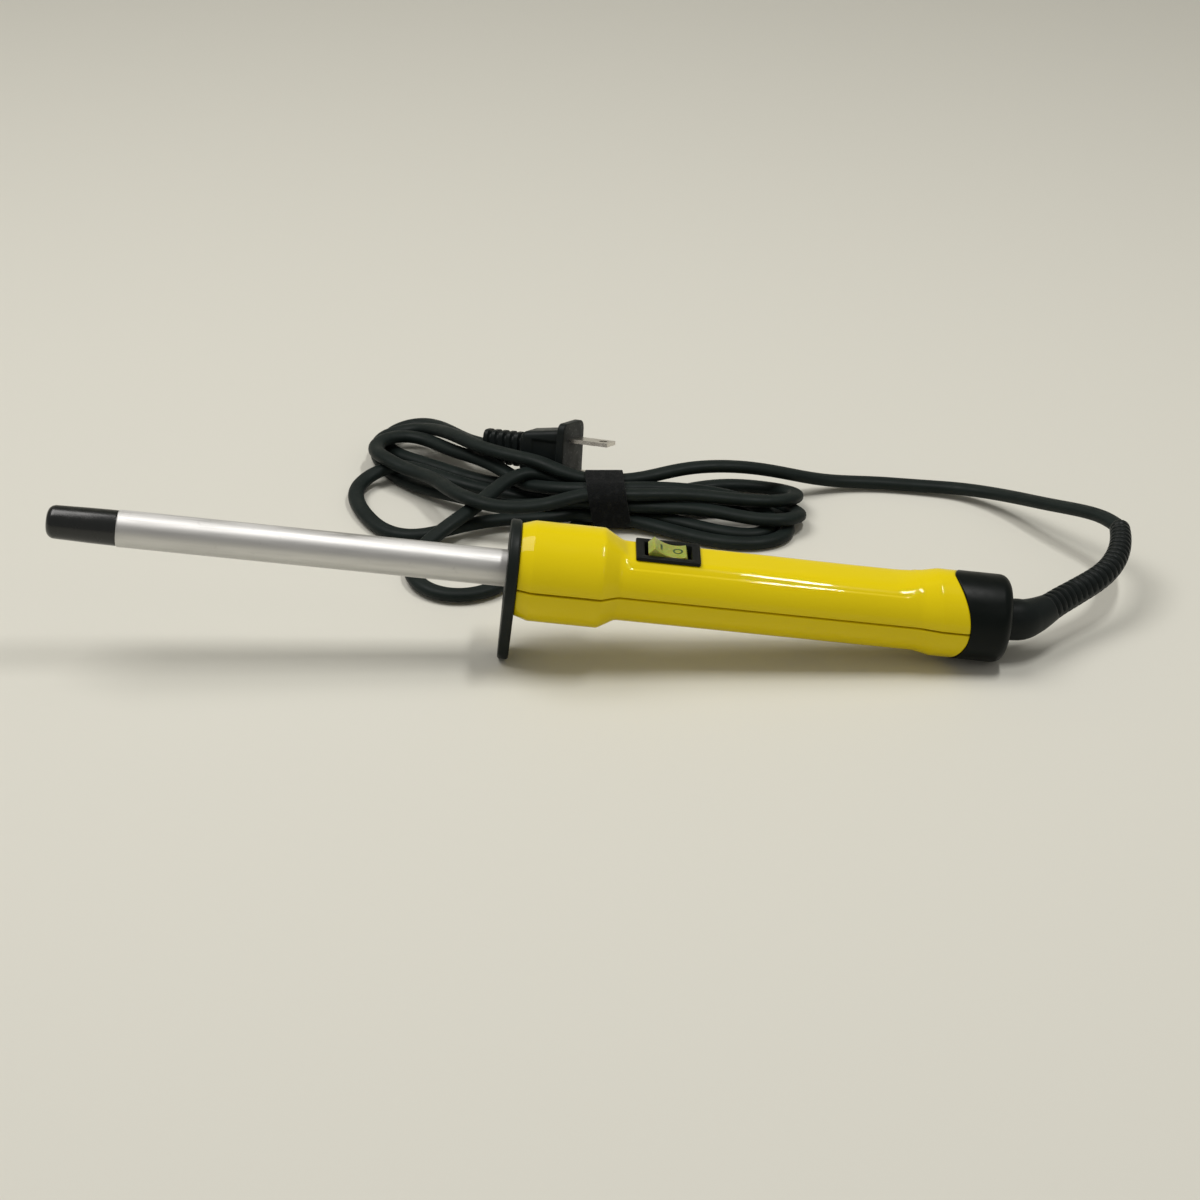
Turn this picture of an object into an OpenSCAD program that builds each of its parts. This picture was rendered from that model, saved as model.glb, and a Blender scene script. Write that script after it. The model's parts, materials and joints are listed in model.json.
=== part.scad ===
// Slim curling wand with a stand foot, a rocker switch and a swivelling mains lead tied in a hank.
// Frame: the surface is z = 0, +X runs from the cool tip to the cord end, and x = 0 is near the
// wand's middle. Handle parts are drawn along their own axis (s along x) and then placed.

/* [Barrel] */
// Outside diameter of the heated barrel
barrel_d = 12.7; // [12:0.1:13.2]
// Length of barrel in front of s = 0, up to the cool tip
barrel_len = 132.6; // [110:0.1:150]
// Wall thickness of the barrel tube
barrel_wall = 0.8; // [0.6:0.1:1]
// Length of the cool tip
tip_len = 23.7; // [20:0.1:30]
// Diameter of the cool tip where it meets the barrel
tip_root_d = 12.2; // [11.6:0.1:12.6]
// Diameter of the cool tip at its free end
tip_end_d = 11.3; // [10.5:0.1:11.6]

/* [Guard] */
// Thickness of the guard plate
guard_t = 3.8; // [3:0.1:4]
// Radius of the round part of the guard
guard_r = 17; // [16.5:0.1:19]
// Distance from the barrel axis to the bottom of the stand foot
foot_drop = 34.2; // [30:0.5:40]
// Radius of the rounded bottom of the foot
foot_r = 8.5; // [6:0.5:10]

/* [Handle] */
// Radius of the head behind the guard
head_r = 17.2; // [16.8:0.1:18]
// Radius of the gripped body
body_r = 13.8; // [13.6:0.1:14]
// Height of the flat top panel above the axis
panel_z = 11.7; // [11.5:0.1:12]
// Radius of the flared rear rim
rim_r = 15; // [14.8:0.1:15]
// Radius of the black end cap
cap_r = 15.2; // [15:0.1:15.5]
// Distance along the axis from s = 0 to the back of the end cap
cap_end = 171.5; // [170:0.5:175]
// Wall thickness of the shells
wall = 2; // [1.8:0.1:2.1]

/* [Switch] */
// Length of the switch bezel
bezel_len = 22; // [21:0.1:22.5]
// Width of the switch bezel
bezel_w = 15; // [14.5:0.1:15]
// Angle that the rocker turns through
rocker_travel = 22; // [18:1:22]

/* [Cord] */
// Width of the flat lead
cord_w = 6.2; // [5.8:0.1:6.4]
// Length of each plug blade outside the face
blade_len = 16; // [15:0.5:17]

/* [Hidden] */
$fn = 64;

// Gap between a rounded part and the hole it sits in
fit = 0.1;
// Overrun of a cutting solid past the face it cuts
over = 1;
// Half-width of a cutting solid that clears the whole handle
clear_y = 30;

// The guard runs from guard_back - guard_t to guard_back along the axis
guard_back = 3;

// The wand rests on the bottom rear edge of its foot and on the rounded rim of its end cap
cap_round = 4;
lean_a = foot_drop - (cap_r - cap_round);
lean_b = (cap_end - cap_round) - guard_back;
tilt = acos(cap_round / sqrt(lean_a * lean_a + lean_b * lean_b)) - atan2(lean_b, lean_a);
axis_h = foot_drop * cos(tilt) + guard_back * sin(tilt);
// Half of the wand's length on the ground; the wand's middle is at x = middle_x
middle_x = 1.4;
nose_r = 4.5;
front_x = (barrel_len + tip_len - nose_r) * cos(tilt) + (tip_end_d / 2 - nose_r) * sin(tilt) + nose_r;
rear_x = (cap_end - cap_round) * cos(tilt) + (cap_r - cap_round) * sin(tilt) + cap_round;
guard_x = (front_x - rear_x) / 2 + middle_x;

// Positions along the wand's axis
head_front_r = head_r - 1.5;
chamfer_s = 7.9;
head_s = 31.6;
body_s = 37.4;
panel_front_s = 39.6;
panel_rear_s = 134;
// Run and rise of the ramps at the ends of the panel
front_ramp = [8, 5.5];
rear_ramp = [8, 2.8];
flare_s = 140;
rim_s = 149;
shell_s = 154.5;
bush_s = 6.5;
bush_flange_t = 2;
bush_end_s = 19;
barrel_end_s = 24;
groove_s = 19.6;
groove_w = 1.2;
barrel_r = barrel_d / 2;
seat_r = barrel_r - 0.2;
groove_r = seat_r - 0.3;
bore_r = barrel_r - barrel_wall;

// Switch
switch_s = 53.1;
bezel_z = panel_z + 1.3;
housing_len = 19;
housing_w = 13;
housing_floor_z = -1.5;
well_len = 16;
well_w = 9.8;
well_z = 1;
pivot_z = panel_z - 0.1;
pivot_r = 1;
rocker_w = 9.2;
rocker_half = 7.1;
// The rocker's ends lean in towards its dished top
rocker_top_half = 5.7;
rocker_top = 3;
rocker_dish_r = 11.6;
lever_z = 2.7;
lever_t = 0.5;
lever_len = 12;
lever_w = 3;
terminal_w = 4.8;
terminal_t = 0.8;
terminal_tip_z = -8.5;
contact_step = 5.2;
button_t = 0.3;
// Round ears at the sides of the lever: reach on each side, and radius
ear_y = [1.3, 2.1];
ear_r = 0.45;

// Swivel at the cord end
core_r = 4;
ring_r = 5.5;
ring_w = 3;
line_ring_s = 131;
neutral_ring_s = 138;
block_s = 144;
block_t = 6;
flange_s = 150.4;
flange_t = 2.4;
flange_r = 9;
boot_root_s = 157;
boot_root_r = 7.25;
boot_hole_r = 7.55;
boot_tip_r = 3.6;

// Screws
screw_r = 1.4;
screw_head_r = 2.2;
screw_hole_r = 1.5;
boss_r = 2.6;
screw_seat_z = -6;
screw_places = [[29, 6.6], [29, -6.6], [104, 4.6], [104, -4.6]];

// Route of the boot and of the lead, point by point
boot_route = [
    [163, 0, 14.4], [169, 0, 13.7], [173, 2, 13.3], [178, 5, 13.5], [184, 10, 14.2], [191, 16, 15.2],
    [198, 22, 16.4], [203, 28, 17.5], [207, 35, 18.5], [210, 43, 19.3], [212, 52, 19.8], [213, 60, 20]
];
lead_route = [
    [213, 60, 20], [211, 66, 20], [207, 73, 19], [201, 81, 17], [192, 94, 13], [181, 111, 8],
    [165, 126, 4], [148, 131, 3], [131, 134, 3], [115, 133, 4], [102, 129, 8], [90, 126, 12],
    [77, 123, 15], [65, 121, 16], [54, 119, 15.5], [44, 115, 14.5]
];
plug_route = [
    [-20.5, 147.5, 13], [-24, 149, 13], [-28, 155, 11.5], [-33, 164, 9.5]
];

// Plug
plug_tail = [-20.5, 147.5, 13];
plug_turn = -24;
plug_rise = 3.4;
plug_lean = 15;
plug_face = 37.5;

// Hank
hank_h = 17;
tie_x = 26.5;
tie_y = 106;
tie_w = 15;

function lerp(a, b, t) = a + (b - a) * t;
// Tangent of a route at point i
function heading(p, i) =
    let(a = p[max(i - 1, 0)], b = p[min(i + 1, len(p) - 1)]) (b - a) / norm(b - a);
// Unit vector square to v and level with the surface
function level(v) = let(h = [-v[1], v[0], 0]) norm(h) < 0.001 ? [0, 1, 0] : h / norm(h);

// Round tube along a route, with radius r0 at its start and r1 at its end
module swept(p, r0, r1, sides = 8) {
    n = len(p);
    rings = [for (i = [0 : n - 1])
        let(t = heading(p, i), u = level(t), v = cross(t, u), r = lerp(r0, r1, i / (n - 1)))
        for (k = [0 : sides - 1])
            p[i] + r * (cos(360 * k / sides) * u + sin(360 * k / sides) * v)];
    sides_faces = [for (i = [0 : n - 2]) for (k = [0 : sides - 1])
        let(a = i * sides + k, b = i * sides + (k + 1) % sides)
        each [[a, a + sides, b], [b, a + sides, b + sides]]];
    caps = [[for (k = [0 : sides - 1]) k], [for (k = [sides - 1 : -1 : 0]) (n - 1) * sides + k]];
    polyhedron(points = rings, faces = concat(sides_faces, caps), convexity = 8);
}

// Puts a part drawn along the wand's axis in its place
module placed() {
    translate([guard_x, 0, axis_h]) rotate([0, tilt, 0]) children();
}
// Turned part: outline points are [distance along the axis, radius]
module turned(outline) {
    rotate([0, 90, 0]) rotate([0, 0, 90]) rotate_extrude() polygon([for (p = outline) [p[1], p[0]]]);
}
module disc(s, t, r) {
    translate([s, 0, 0]) rotate([0, 90, 0]) cylinder(h = t, r = r);
}
module ring(s, t, r_out, r_in) {
    difference() {
        disc(s, t, r_out);
        disc(s - over, t + 2 * over, r_in);
    }
}
// Block between two corners
module block(low, high) {
    translate(low) cube(high - low);
}

// ---- Barrel and heater ----
// Tube with a slightly smaller seat inside the head and a groove for its retaining ring
module barrel_tube() color("silver") placed() difference() {
    union() {
        // the full width ends just in front of the guard
        disc(-barrel_len, barrel_len + guard_back - guard_t - 1.5 * fit, barrel_r);
        disc(-over, barrel_end_s + over, seat_r);
    }
    disc(-barrel_len - over, barrel_len + barrel_end_s + 2 * over, bore_r);
    ring(groove_s, groove_w, seat_r + over, groove_r);
}

module cool_tip() color("#171918") placed() {
    tip_s = -barrel_len - tip_len;
    flat_r = tip_end_d / 2 - nose_r;
    plug_len = 8;
    turned(concat(
        [[tip_s, 0]],
        [for (a = [0 : 15 : 90]) [tip_s + nose_r * (1 - cos(a)), flat_r + nose_r * sin(a)]],
        [[-barrel_len, tip_root_d / 2], [-barrel_len, bore_r - fit],
         [-barrel_len + plug_len, bore_r - fit], [-barrel_len + plug_len, 0]]));
}

heater_s = [-118, -58];
heater_half_w = 3.5;
heater_half_t = 1.1;
// Half-round aluminium bar with a flat pocket for the ceramic heater
module heat_spreader(side) {
    spreader_r = bore_r - 0.25;
    gap = 0.4;
    difference() {
        disc(heater_s[0], heater_s[1] - heater_s[0], spreader_r);
        block([heater_s[0] - over, -spreader_r - over, side > 0 ? -spreader_r - over : -gap],
              [heater_s[1] + over, spreader_r + over, side > 0 ? gap : spreader_r + over]);
        block([heater_s[0] - over, -heater_half_w - fit, -heater_half_t - (side > 0 ? 0 : 0.8)],
              [heater_s[1] + over, heater_half_w + fit, heater_half_t]);
    }
}
module heat_spreader_upper() color("lightgray") placed() heat_spreader(1);
module heat_spreader_lower() color("lightgray") placed() heat_spreader(-1);
module ceramic_heater() color("ivory") placed()
    block([heater_s[0] + 2, -heater_half_w, -heater_half_t], [heater_s[1] - 2, heater_half_w, heater_half_t]);
// Leaf under the heater that pushes it against the upper spreader
module heater_spring() color("steelblue") placed() {
    leaf_t = 0.3;
    for (s = [heater_s[0] + 8 : 12 : heater_s[1] - 10])
        block([s, -heater_half_w + 1, -heater_half_t - 0.8], [s + 3, heater_half_w - 1, -heater_half_t]);
    block([heater_s[0] + 2, -heater_half_w + 1, -heater_half_t - leaf_t],
          [heater_s[1] - 2, heater_half_w - 1, -heater_half_t]);
}

// ---- Guard and barrel seat ----
// Guard outline: a disc whose straight sides run down to a rounded foot
module guard_outline() {
    foot_z = foot_drop - foot_r;
    side = 180 - acos((guard_r - foot_r) / foot_z);
    polygon(concat(
        [for (i = [-24 : 24]) guard_r * [cos(side * i / 24), sin(side * i / 24)]],
        [for (i = [0 : 16]) let(a = side + (360 - 2 * side) * i / 16)
            [foot_r * cos(a) - foot_z, foot_r * sin(a)]]));
}
guard_screw_places = [for (a = [30, 150, 270]) [cos(a) * 10.6, sin(a) * 10.6]];
spigot_r = 13.4;
module guard_plate() color("#2a2d2c") placed() difference() {
    union() {
        translate([guard_back, 0, 0]) rotate([0, -90, 0]) linear_extrude(guard_t) guard_outline();
        disc(guard_back - 0.5, bush_s - guard_back + 0.5, spigot_r);
    }
    disc(-2 * over, bush_s + 3 * over, barrel_r + fit);
    disc(guard_back, bush_s, 8.2);
    for (p = guard_screw_places)
        translate([1.5, p[0], p[1]]) rotate([0, 90, 0]) cylinder(h = bush_s, r = 1.05, $fn = 24);
}
// Heat-proof seat that holds the barrel in the head
module barrel_bush() color("tan") placed() difference() {
    union() {
        disc(guard_back + fit, bush_end_s - guard_back - fit, 8);
        disc(bush_s, bush_flange_t, 14.4);
    }
    disc(0, bush_end_s + over, seat_r + fit);
    for (p = guard_screw_places)
        translate([bush_s - over, p[0], p[1]]) rotate([0, 90, 0]) cylinder(h = 5, r = 1.2, $fn = 24);
}
module guard_screws() color("gainsboro") placed()
    for (p = guard_screw_places)
        translate([2, p[0], p[1]]) rotate([0, 90, 0]) {
            cylinder(h = bush_s + bush_flange_t - 2, r = 1, $fn = 24);
            translate([0, 0, bush_s + bush_flange_t - 2]) cylinder(h = 1.4, r = 1.9, $fn = 24);
        }
// Open spring ring in the barrel's groove, behind the bush
module retaining_ring() color("gray") placed()
    translate([groove_s + 0.1, 0, 0]) rotate([0, 90, 0]) rotate([0, 0, 25]) rotate_extrude(angle = 310)
        translate([groove_r + 0.05, 0]) square([2.4, 1]);

// ---- Handle shells ----
module shell_outside() {
    turned([[guard_back, 0], [guard_back, head_front_r], [chamfer_s, head_r], [head_s, head_r],
            [body_s, body_r], [flare_s, body_r], [rim_s, rim_r], [shell_s, rim_r], [shell_s, 0]]);
}
module shell_inside() {
    turned([[guard_back + wall, 0], [guard_back + wall, head_front_r - wall + 0.6],
            [chamfer_s + 0.4, head_r - wall], [head_s - 0.5, head_r - wall],
            [body_s - 0.5, body_r - wall], [flare_s, body_r - wall], [rim_s, rim_r - wall],
            [shell_s + over, rim_r - wall], [shell_s + over, 0]]);
}
// Flat panel on top of the handle, with a ramp up to the round part at each end
module panel_cut() {
    translate([0, clear_y, 0]) rotate([90, 0, 0]) linear_extrude(2 * clear_y) polygon([
        [panel_front_s, panel_z], [panel_front_s - front_ramp[0], panel_z + front_ramp[1]],
        [panel_front_s - front_ramp[0], clear_y], [panel_rear_s + rear_ramp[0], clear_y],
        [panel_rear_s + rear_ramp[0], panel_z + rear_ramp[1]], [panel_rear_s, panel_z]
    ]);
}
// Ribs that locate the bush's flange and the brush block
module shell_ribs() {
    ring(bush_s + bush_flange_t + fit, 1.5, head_r - 1, 12.8);
    ring(block_s - 1.6, 1.5, body_r - 1, 10);
}
module shell_boss(p, up) {
    translate([p[0], p[1], up ? 0 : screw_seat_z - 2]) cylinder(h = up ? 9.5 : 2 - screw_seat_z, r = boss_r);
}
module upper_shell() color("#d8c812") placed() difference() {
    union() {
        difference() {
            shell_outside();
            panel_cut();
            difference() {
                shell_inside();
                block([head_s + 2, -clear_y, panel_z - wall], [panel_rear_s + wall, clear_y, clear_y]);
            }
        }
        intersection() {
            shell_outside();
            union() {
                shell_ribs();
                for (p = screw_places) shell_boss(p, true);
            }
        }
    }
    block([0, -clear_y, -clear_y], [cap_end, clear_y, 0]);
    disc(0, guard_back + wall + over, spigot_r + fit);
    block([switch_s - housing_len / 2 - fit, -housing_w / 2 - fit, 5],
          [switch_s + housing_len / 2 + fit, housing_w / 2 + fit, clear_y]);
    for (p = screw_places)
        translate([p[0], p[1], -over]) cylinder(h = 8.5, r = screw_hole_r, $fn = 32);
}
module lower_shell() color("#d8c812") placed() difference() {
    union() {
        difference() {
            shell_outside();
            shell_inside();
        }
        intersection() {
            shell_outside();
            union() {
                shell_ribs();
                for (p = screw_places) shell_boss(p, false);
            }
        }
    }
    block([0, -clear_y, 0], [cap_end, clear_y, clear_y]);
    disc(0, guard_back + wall + over, spigot_r + fit);
    for (p = screw_places) translate([p[0], p[1], 0]) {
        translate([0, 0, screw_seat_z - 12]) cylinder(h = 12 + over - screw_seat_z, r = screw_hole_r, $fn = 32);
        translate([0, 0, screw_seat_z - 12]) cylinder(h = 12, r = screw_head_r + 0.3, $fn = 32);
    }
}
module shell_screws() color("gainsboro") placed()
    for (p = screw_places) translate([p[0], p[1], screw_seat_z]) difference() {
        union() {
            cylinder(h = 12, r = screw_r, $fn = 32);
            translate([0, 0, -1.6]) cylinder(h = 1.6, r = screw_head_r, $fn = 32);
        }
        for (turn = [0, 90]) translate([0, 0, -1.6]) rotate([0, 0, turn])
            cube([3.4, 0.7, 1.4], center = true);
    }

// ---- Switch ----
module at_switch(z = 0) {
    translate([switch_s, 0, z]) children();
}
module switch_housing() color("#222423") placed() at_switch() difference() {
    union() {
        block([-bezel_len / 2, -bezel_w / 2, panel_z], [bezel_len / 2, bezel_w / 2, bezel_z]);
        block([-housing_len / 2, -housing_w / 2, housing_floor_z], [housing_len / 2, housing_w / 2, panel_z]);
    }
    block([-well_len / 2, -well_w / 2, well_z], [well_len / 2, well_w / 2, bezel_z + over]);
    // bearings for the rocker's journals
    translate([0, -housing_w / 2, pivot_z]) rotate([-90, 0, 0]) cylinder(h = housing_w, r = pivot_r + 0.05);
    // slots for the blade terminals
    for (x = [-contact_step, 0, contact_step])
        block([x - terminal_t / 2, -terminal_w / 2, housing_floor_z - over],
              [x + terminal_t / 2, terminal_w / 2, well_z + over]);
}
// Rocker in its level position: dished top, journals at the pivot and a leg for the plunger
module rocker_shape() {
    leg_r = 2.2;
    difference() {
        union() {
            translate([0, rocker_w / 2, 0]) rotate([90, 0, 0]) linear_extrude(rocker_w)
                polygon([[-rocker_top_half, rocker_top], [-rocker_half, 0.3], [-rocker_half + 0.5, -0.8],
                         [-rocker_half + 2, -1.8], [rocker_half - 2, -1.8], [rocker_half - 0.5, -0.8],
                         [rocker_half, 0.3], [rocker_top_half, rocker_top]]);
            translate([0, 0, -6]) cylinder(h = 5, r = leg_r, $fn = 32);
            translate([0, -housing_w / 2 + 0.2, 0]) rotate([-90, 0, 0])
                cylinder(h = housing_w - 0.4, r = pivot_r);
        }
        translate([0, rocker_w, sqrt(pow(rocker_dish_r, 2) - pow(rocker_top_half, 2)) + rocker_top])
            rotate([90, 0, 0]) cylinder(h = 2 * rocker_w, r = rocker_dish_r, $fn = 128);
        translate([0, 0, -6 - over]) cylinder(h = 5 + over, r = 1.3, $fn = 32);
    }
}
module switch_rocker() color("#b9d64a") placed() at_switch(pivot_z)
    rotate([0, rocker_travel / 2, 0]) rocker_shape();
module rocker_plunger() color("silver") placed() at_switch(pivot_z)
    rotate([0, rocker_travel / 2, 0]) {
        translate([0, 0, -7.8]) cylinder(h = 6.8, r = 1.2, $fn = 32);
        translate([0, 0, -7.8]) sphere(r = 0.8, $fn = 24);
    }
// Seesaw contact under the plunger
module contact_lever() color("peru") placed() at_switch(lever_z)
    rotate([0, -rocker_travel / 4, 0]) {
        block([-lever_len / 2, -lever_w / 2, -lever_t], [lever_len / 2, lever_w / 2, 0]);
        // contact buttons
        for (x = [-1, 1]) block([x * contact_step - 0.8, -0.8, -lever_t - button_t],
                                [x * contact_step + 0.8, 0.8, -lever_t]);
        // round ears that the lever rocks on
        for (side = [-1, 1]) translate([0, side > 0 ? ear_y[0] : -ear_y[1], 0]) rotate([-90, 0, 0])
            cylinder(h = ear_y[1] - ear_y[0], r = ear_r, $fn = 32);
    }
module blade_terminal(x, top) {
    block([x - terminal_t / 2, -terminal_w / 2, terminal_tip_z], [x + terminal_t / 2, terminal_w / 2, well_z]);
    block([x - 0.4, -1, well_z], [x + 0.4, 1, top]);
}
module common_terminal() color("goldenrod") placed() at_switch() difference() {
    union() {
        blade_terminal(0, lever_z - lever_t - 0.15);
        // fork that carries the lever's ears
        for (side = [-1, 1]) block([-0.9, side > 0 ? lever_w / 2 + 0.15 : -ear_y[1], well_z],
                                   [0.9, side > 0 ? ear_y[1] : -lever_w / 2 - 0.15, lever_z]);
        block([-0.4, -ear_y[1], well_z], [0.4, ear_y[1], well_z + 0.6]);
    }
    translate([0, -3, lever_z]) rotate([-90, 0, 0]) cylinder(h = 6, r = ear_r + 0.05, $fn = 32);
}
module load_terminal() color("goldenrod") placed() at_switch()
    blade_terminal(contact_step, lever_z - lever_t - button_t - 0.65);
module lamp_terminal() color("goldenrod") placed() at_switch() {
    block([-contact_step - terminal_t / 2, -terminal_w / 2, terminal_tip_z],
          [-contact_step + terminal_t / 2, terminal_w / 2, well_z]);
}
// Glow lamp beside the lever, standing on its two wires
module pilot_lamp() color("orange") placed() at_switch() {
    lamp_y = 3.4;
    lamp_z = 3.4;
    translate([-3, lamp_y, lamp_z]) rotate([0, 90, 0]) cylinder(h = 6, r = 1.2, $fn = 24);
    for (x = [-2.2, 2.2]) translate([x, lamp_y, well_z]) cylinder(h = lamp_z - well_z, r = 0.3, $fn = 16);
}

// ---- Wiring inside the handle ----
fuse_s = [50, 60];
fuse_y = -8.7;
fuse_z = -3;
crimp_len = 5;
module thermal_fuse() color("white") placed()
    translate([fuse_s[0], fuse_y, fuse_z]) rotate([0, 90, 0]) {
        cylinder(h = fuse_s[1] - fuse_s[0], r = 2, $fn = 32);
        translate([0, 0, -3]) cylinder(h = fuse_s[1] - fuse_s[0] + 6, r = 0.5, $fn = 16);
    }
module crimp_sleeves() color("silver") placed()
    for (s = [fuse_s[0] - 3 - crimp_len, fuse_s[1] + 3]) translate([s, fuse_y, fuse_z])
        rotate([0, 90, 0]) cylinder(h = crimp_len, r = 1.2, $fn = 24);
module wire(route) {
    wire_r = 0.8;
    swept(route, wire_r, wire_r, 6);
}
// From the load terminal to the rear crimp of the fuse
module switch_lead() color("firebrick") placed()
    wire([[68.1, fuse_y, fuse_z], [69.4, fuse_y, fuse_z], [72, -8.4, -4], [74, -5, -6.5],
          [71, -1, -7.5], [67, 0, -7.5], [58.8, 0, -7.5]]);
// From the front crimp of the fuse into the barrel
module heater_lead() color("firebrick") placed()
    wire([[41.9, fuse_y, fuse_z], [40.6, fuse_y, fuse_z], [38, -6.5, -3], [34.5, -2.4, -3.4],
          [30, -1.2, -3.4], [24, -0.5, -3.4], [15, 0, -3.3], [-10, 0, -3.2], [-35, 0, -3], [-58, 0, -2.6]]);
// From the heater back to the neutral brush
module return_lead() color("whitesmoke") placed()
    wire([[-58, 0, 2.6], [-30, 0, 3], [0, 0, 3.2], [25, 1.2, 3], [33, 2.2, 3], [41, 8.6, 0], [50, 8.8, -1],
          [70, 8.8, -1], [88, 5, -2], [98, 0.7, -2.6], [110, 0.7, -3.2], [120, 2.5, -6.5], [130, 1, -7.6],
          [138.4, 1, -7.3]]);
// From the line brush to the common terminal
module line_lead() color("black") placed()
    wire([[53.6, 1.5, -4], [54.7, 1.5, -4], [56.3, 3.2, -4], [64, 4.6, -4.5], [80, 3, -6], [98, 1.6, -6.8],
          [110, -1, -6.5], [120, -6, -1], [127, -4, 5.8], [131.4, -3, 6.6]]);
// From the lamp terminal to the neutral brush
module lamp_lead() color("whitesmoke") placed()
    wire([[47.4, 0, -7], [46.3, 0, -7], [44.3, 0, -7.8], [41.9, 2, -8.4], [42.8, 5, -8], [48.3, 6.6, -7.2],
          [66, 6, -8], [84, 3.4, -9.6], [98, 0, -10], [112, -1.2, -9.8], [128, -1.2, -9], [138.4, -1.2, -7.4]]);

// ---- Cord end ----
module end_cap() color("#191b1a") placed() {
    rear_wall = 3.5;
    inner_r = 12.6;
    difference() {
        turned(concat(
            [[shell_s, 0], [shell_s, cap_r]],
            [for (a = [0 : 15 : 90]) [cap_end - cap_round * (1 - sin(a)), cap_r - cap_round * (1 - cos(a))]],
            [[cap_end, 0]]));
        disc(shell_s - over, cap_end - rear_wall - shell_s + over, inner_r);
        disc(shell_s, cap_end, boot_hole_r);
    }
    // spigot that plugs into the shells
    ring(block_s + block_t + fit, shell_s - block_s - block_t, rim_r - wall - 0.6, 11);
    ring(shell_s, 2, cap_r - 1, 11);
}
// Insulating block that carries the brushes and the front bearing of the swivel
module brush_block() color("#3a3d3c") placed() {
    difference() {
        union() {
            disc(block_s, block_t, body_r - wall - 0.25);
            // arms that hold the brushes
            for (y = [-4, 2], z = [-8.7, 7.5]) block([128, y, z], [block_s + 1, y + 2, z + 1.2]);
        }
        disc(block_s - over, block_t + 2 * over, core_r + 0.05);
    }
}
// Spring brush bearing on a slip ring from above (side 1) or below (side -1)
module brush(s, side) {
    block([s + 0.4, -2, side > 0 ? ring_r + 0.15 : -7.5],
          [s + ring_w - 0.4, 2, side > 0 ? 7.5 : -ring_r - 0.15]);
    block([s + 0.4, -4, side > 0 ? 7.1 : -7.5], [s + ring_w - 0.4, 4, side > 0 ? 7.5 : -7.1]);
}
module line_brush() color("goldenrod") placed() brush(line_ring_s, 1);
module neutral_brush() color("goldenrod") placed() brush(neutral_ring_s, -1);
module swivel_core() color("#e6e2d4") placed() {
    disc(line_ring_s - 3, flange_s - line_ring_s + 3, core_r);
    for (s = [line_ring_s, neutral_ring_s]) {
        ring(s - 1.5, 1.3, ring_r + 0.7, core_r - 0.5);
        ring(s + ring_w + 0.15, 1.3, ring_r + 0.7, core_r - 0.5);
    }
    disc(flange_s, flange_t, flange_r);
    disc(flange_s + flange_t, boot_root_s - flange_s - flange_t, 5.5);
}
module line_slip_ring() color("gold") placed() ring(line_ring_s, ring_w, ring_r, core_r + 0.02);
module neutral_slip_ring() color("gold") placed() ring(neutral_ring_s, ring_w, ring_r, core_r + 0.02);
// Long strain relief: a plain root that turns in the cap, then a tapering ribbed tail
module cord_boot() color("#141615") {
    placed() {
        disc(boot_root_s, 20.5, boot_root_r);
        disc(boot_root_s, 9.2, boot_root_r + 2.2);
    }
    swept([for (i = [1 : len(boot_route) - 1]) boot_route[i]], boot_root_r - 0.25, boot_tip_r, 12);
}

// ---- Mains lead ----
module cord_lead() color("#20282a") swept(lead_route, cord_w / 2, cord_w / 2);
module plug_lead() color("#20282a") swept(plug_route, cord_w / 2, cord_w / 2);
// Tied bundle of loops: a fan of loops on each side of the tie
module loops(h, outline) {
    bend_r = 5;
    linear_extrude(h) offset(bend_r) offset(delta = -bend_r) polygon(outline);
}
module loops_tip_side() color("#20282a") loops(hank_h, [
    [19, 117], [19, 90], [10, 76], [-6, 47], [-17, 36], [-34, 35], [-47, 45], [-50, 60], [-60, 86],
    [-73, 110], [-75, 132], [-69, 148], [-69, 172], [-62, 183], [-50, 186], [-39, 183], [-30, 168],
    [-14, 138], [4, 121]
]);
module loops_cord_side() color("#20282a") loops(hank_h - 1, [
    [34, 117], [34, 93], [54, 81], [74, 75], [91, 76], [102, 88], [107, 104], [108, 122],
    [101, 133], [84, 138], [62, 136], [46, 125]
]);
// Hook-and-loop strap around the middle of the bundle
module cord_tie() color("#101211")
    translate([tie_x - tie_w / 2, tie_y - 11.5, 0]) cube([tie_w, 23, 18]);

// ---- Plug ----
module at_plug() {
    translate(plug_tail) rotate([0, -plug_rise, plug_turn]) rotate([-plug_lean, 0, 0]) children();
}
module plug_body() color("#16191a") at_plug() {
    flange_t = 3;
    rib_pitch = 3.3;
    rib_t = 2.2;
    neck_end = 18.5;
    // ribbed tail
    for (i = [0 : 4]) translate([i * rib_pitch, -4, -6.6]) cube([rib_t, 8, 13.2]);
    translate([0, -3.2, -5.6]) cube([neck_end, 6.4, 11.2]);
    // body, widening to the face
    rotate([90, 0, 0]) linear_extrude(14, center = true)
        polygon([[neck_end - 1, -8], [plug_face - flange_t, -10.7], [plug_face - flange_t, 10.7],
                 [neck_end - 1, 8]]);
    translate([plug_face - flange_t, -9.5, -13.2]) cube([flange_t, 19, 26.4]);
}
blade_t = 1.5;
// Flat blade with a hole near its end
module plug_blade(z, w) {
    hole_inset = 3.4;
    at_plug() difference() {
        block([plug_face, -w / 2, z - blade_t / 2], [plug_face + blade_len, w / 2, z + blade_t / 2]);
        translate([plug_face + blade_len - hole_inset, 0, z - over])
            cylinder(h = 2 + over, r = 1.6, $fn = 32);
    }
}
blade_gap = 12.7;
module plug_blade_wide() color("silver") plug_blade(blade_gap / 2, 7.9);
module plug_blade_narrow() color("silver") plug_blade(-blade_gap / 2, 6.35);

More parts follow.
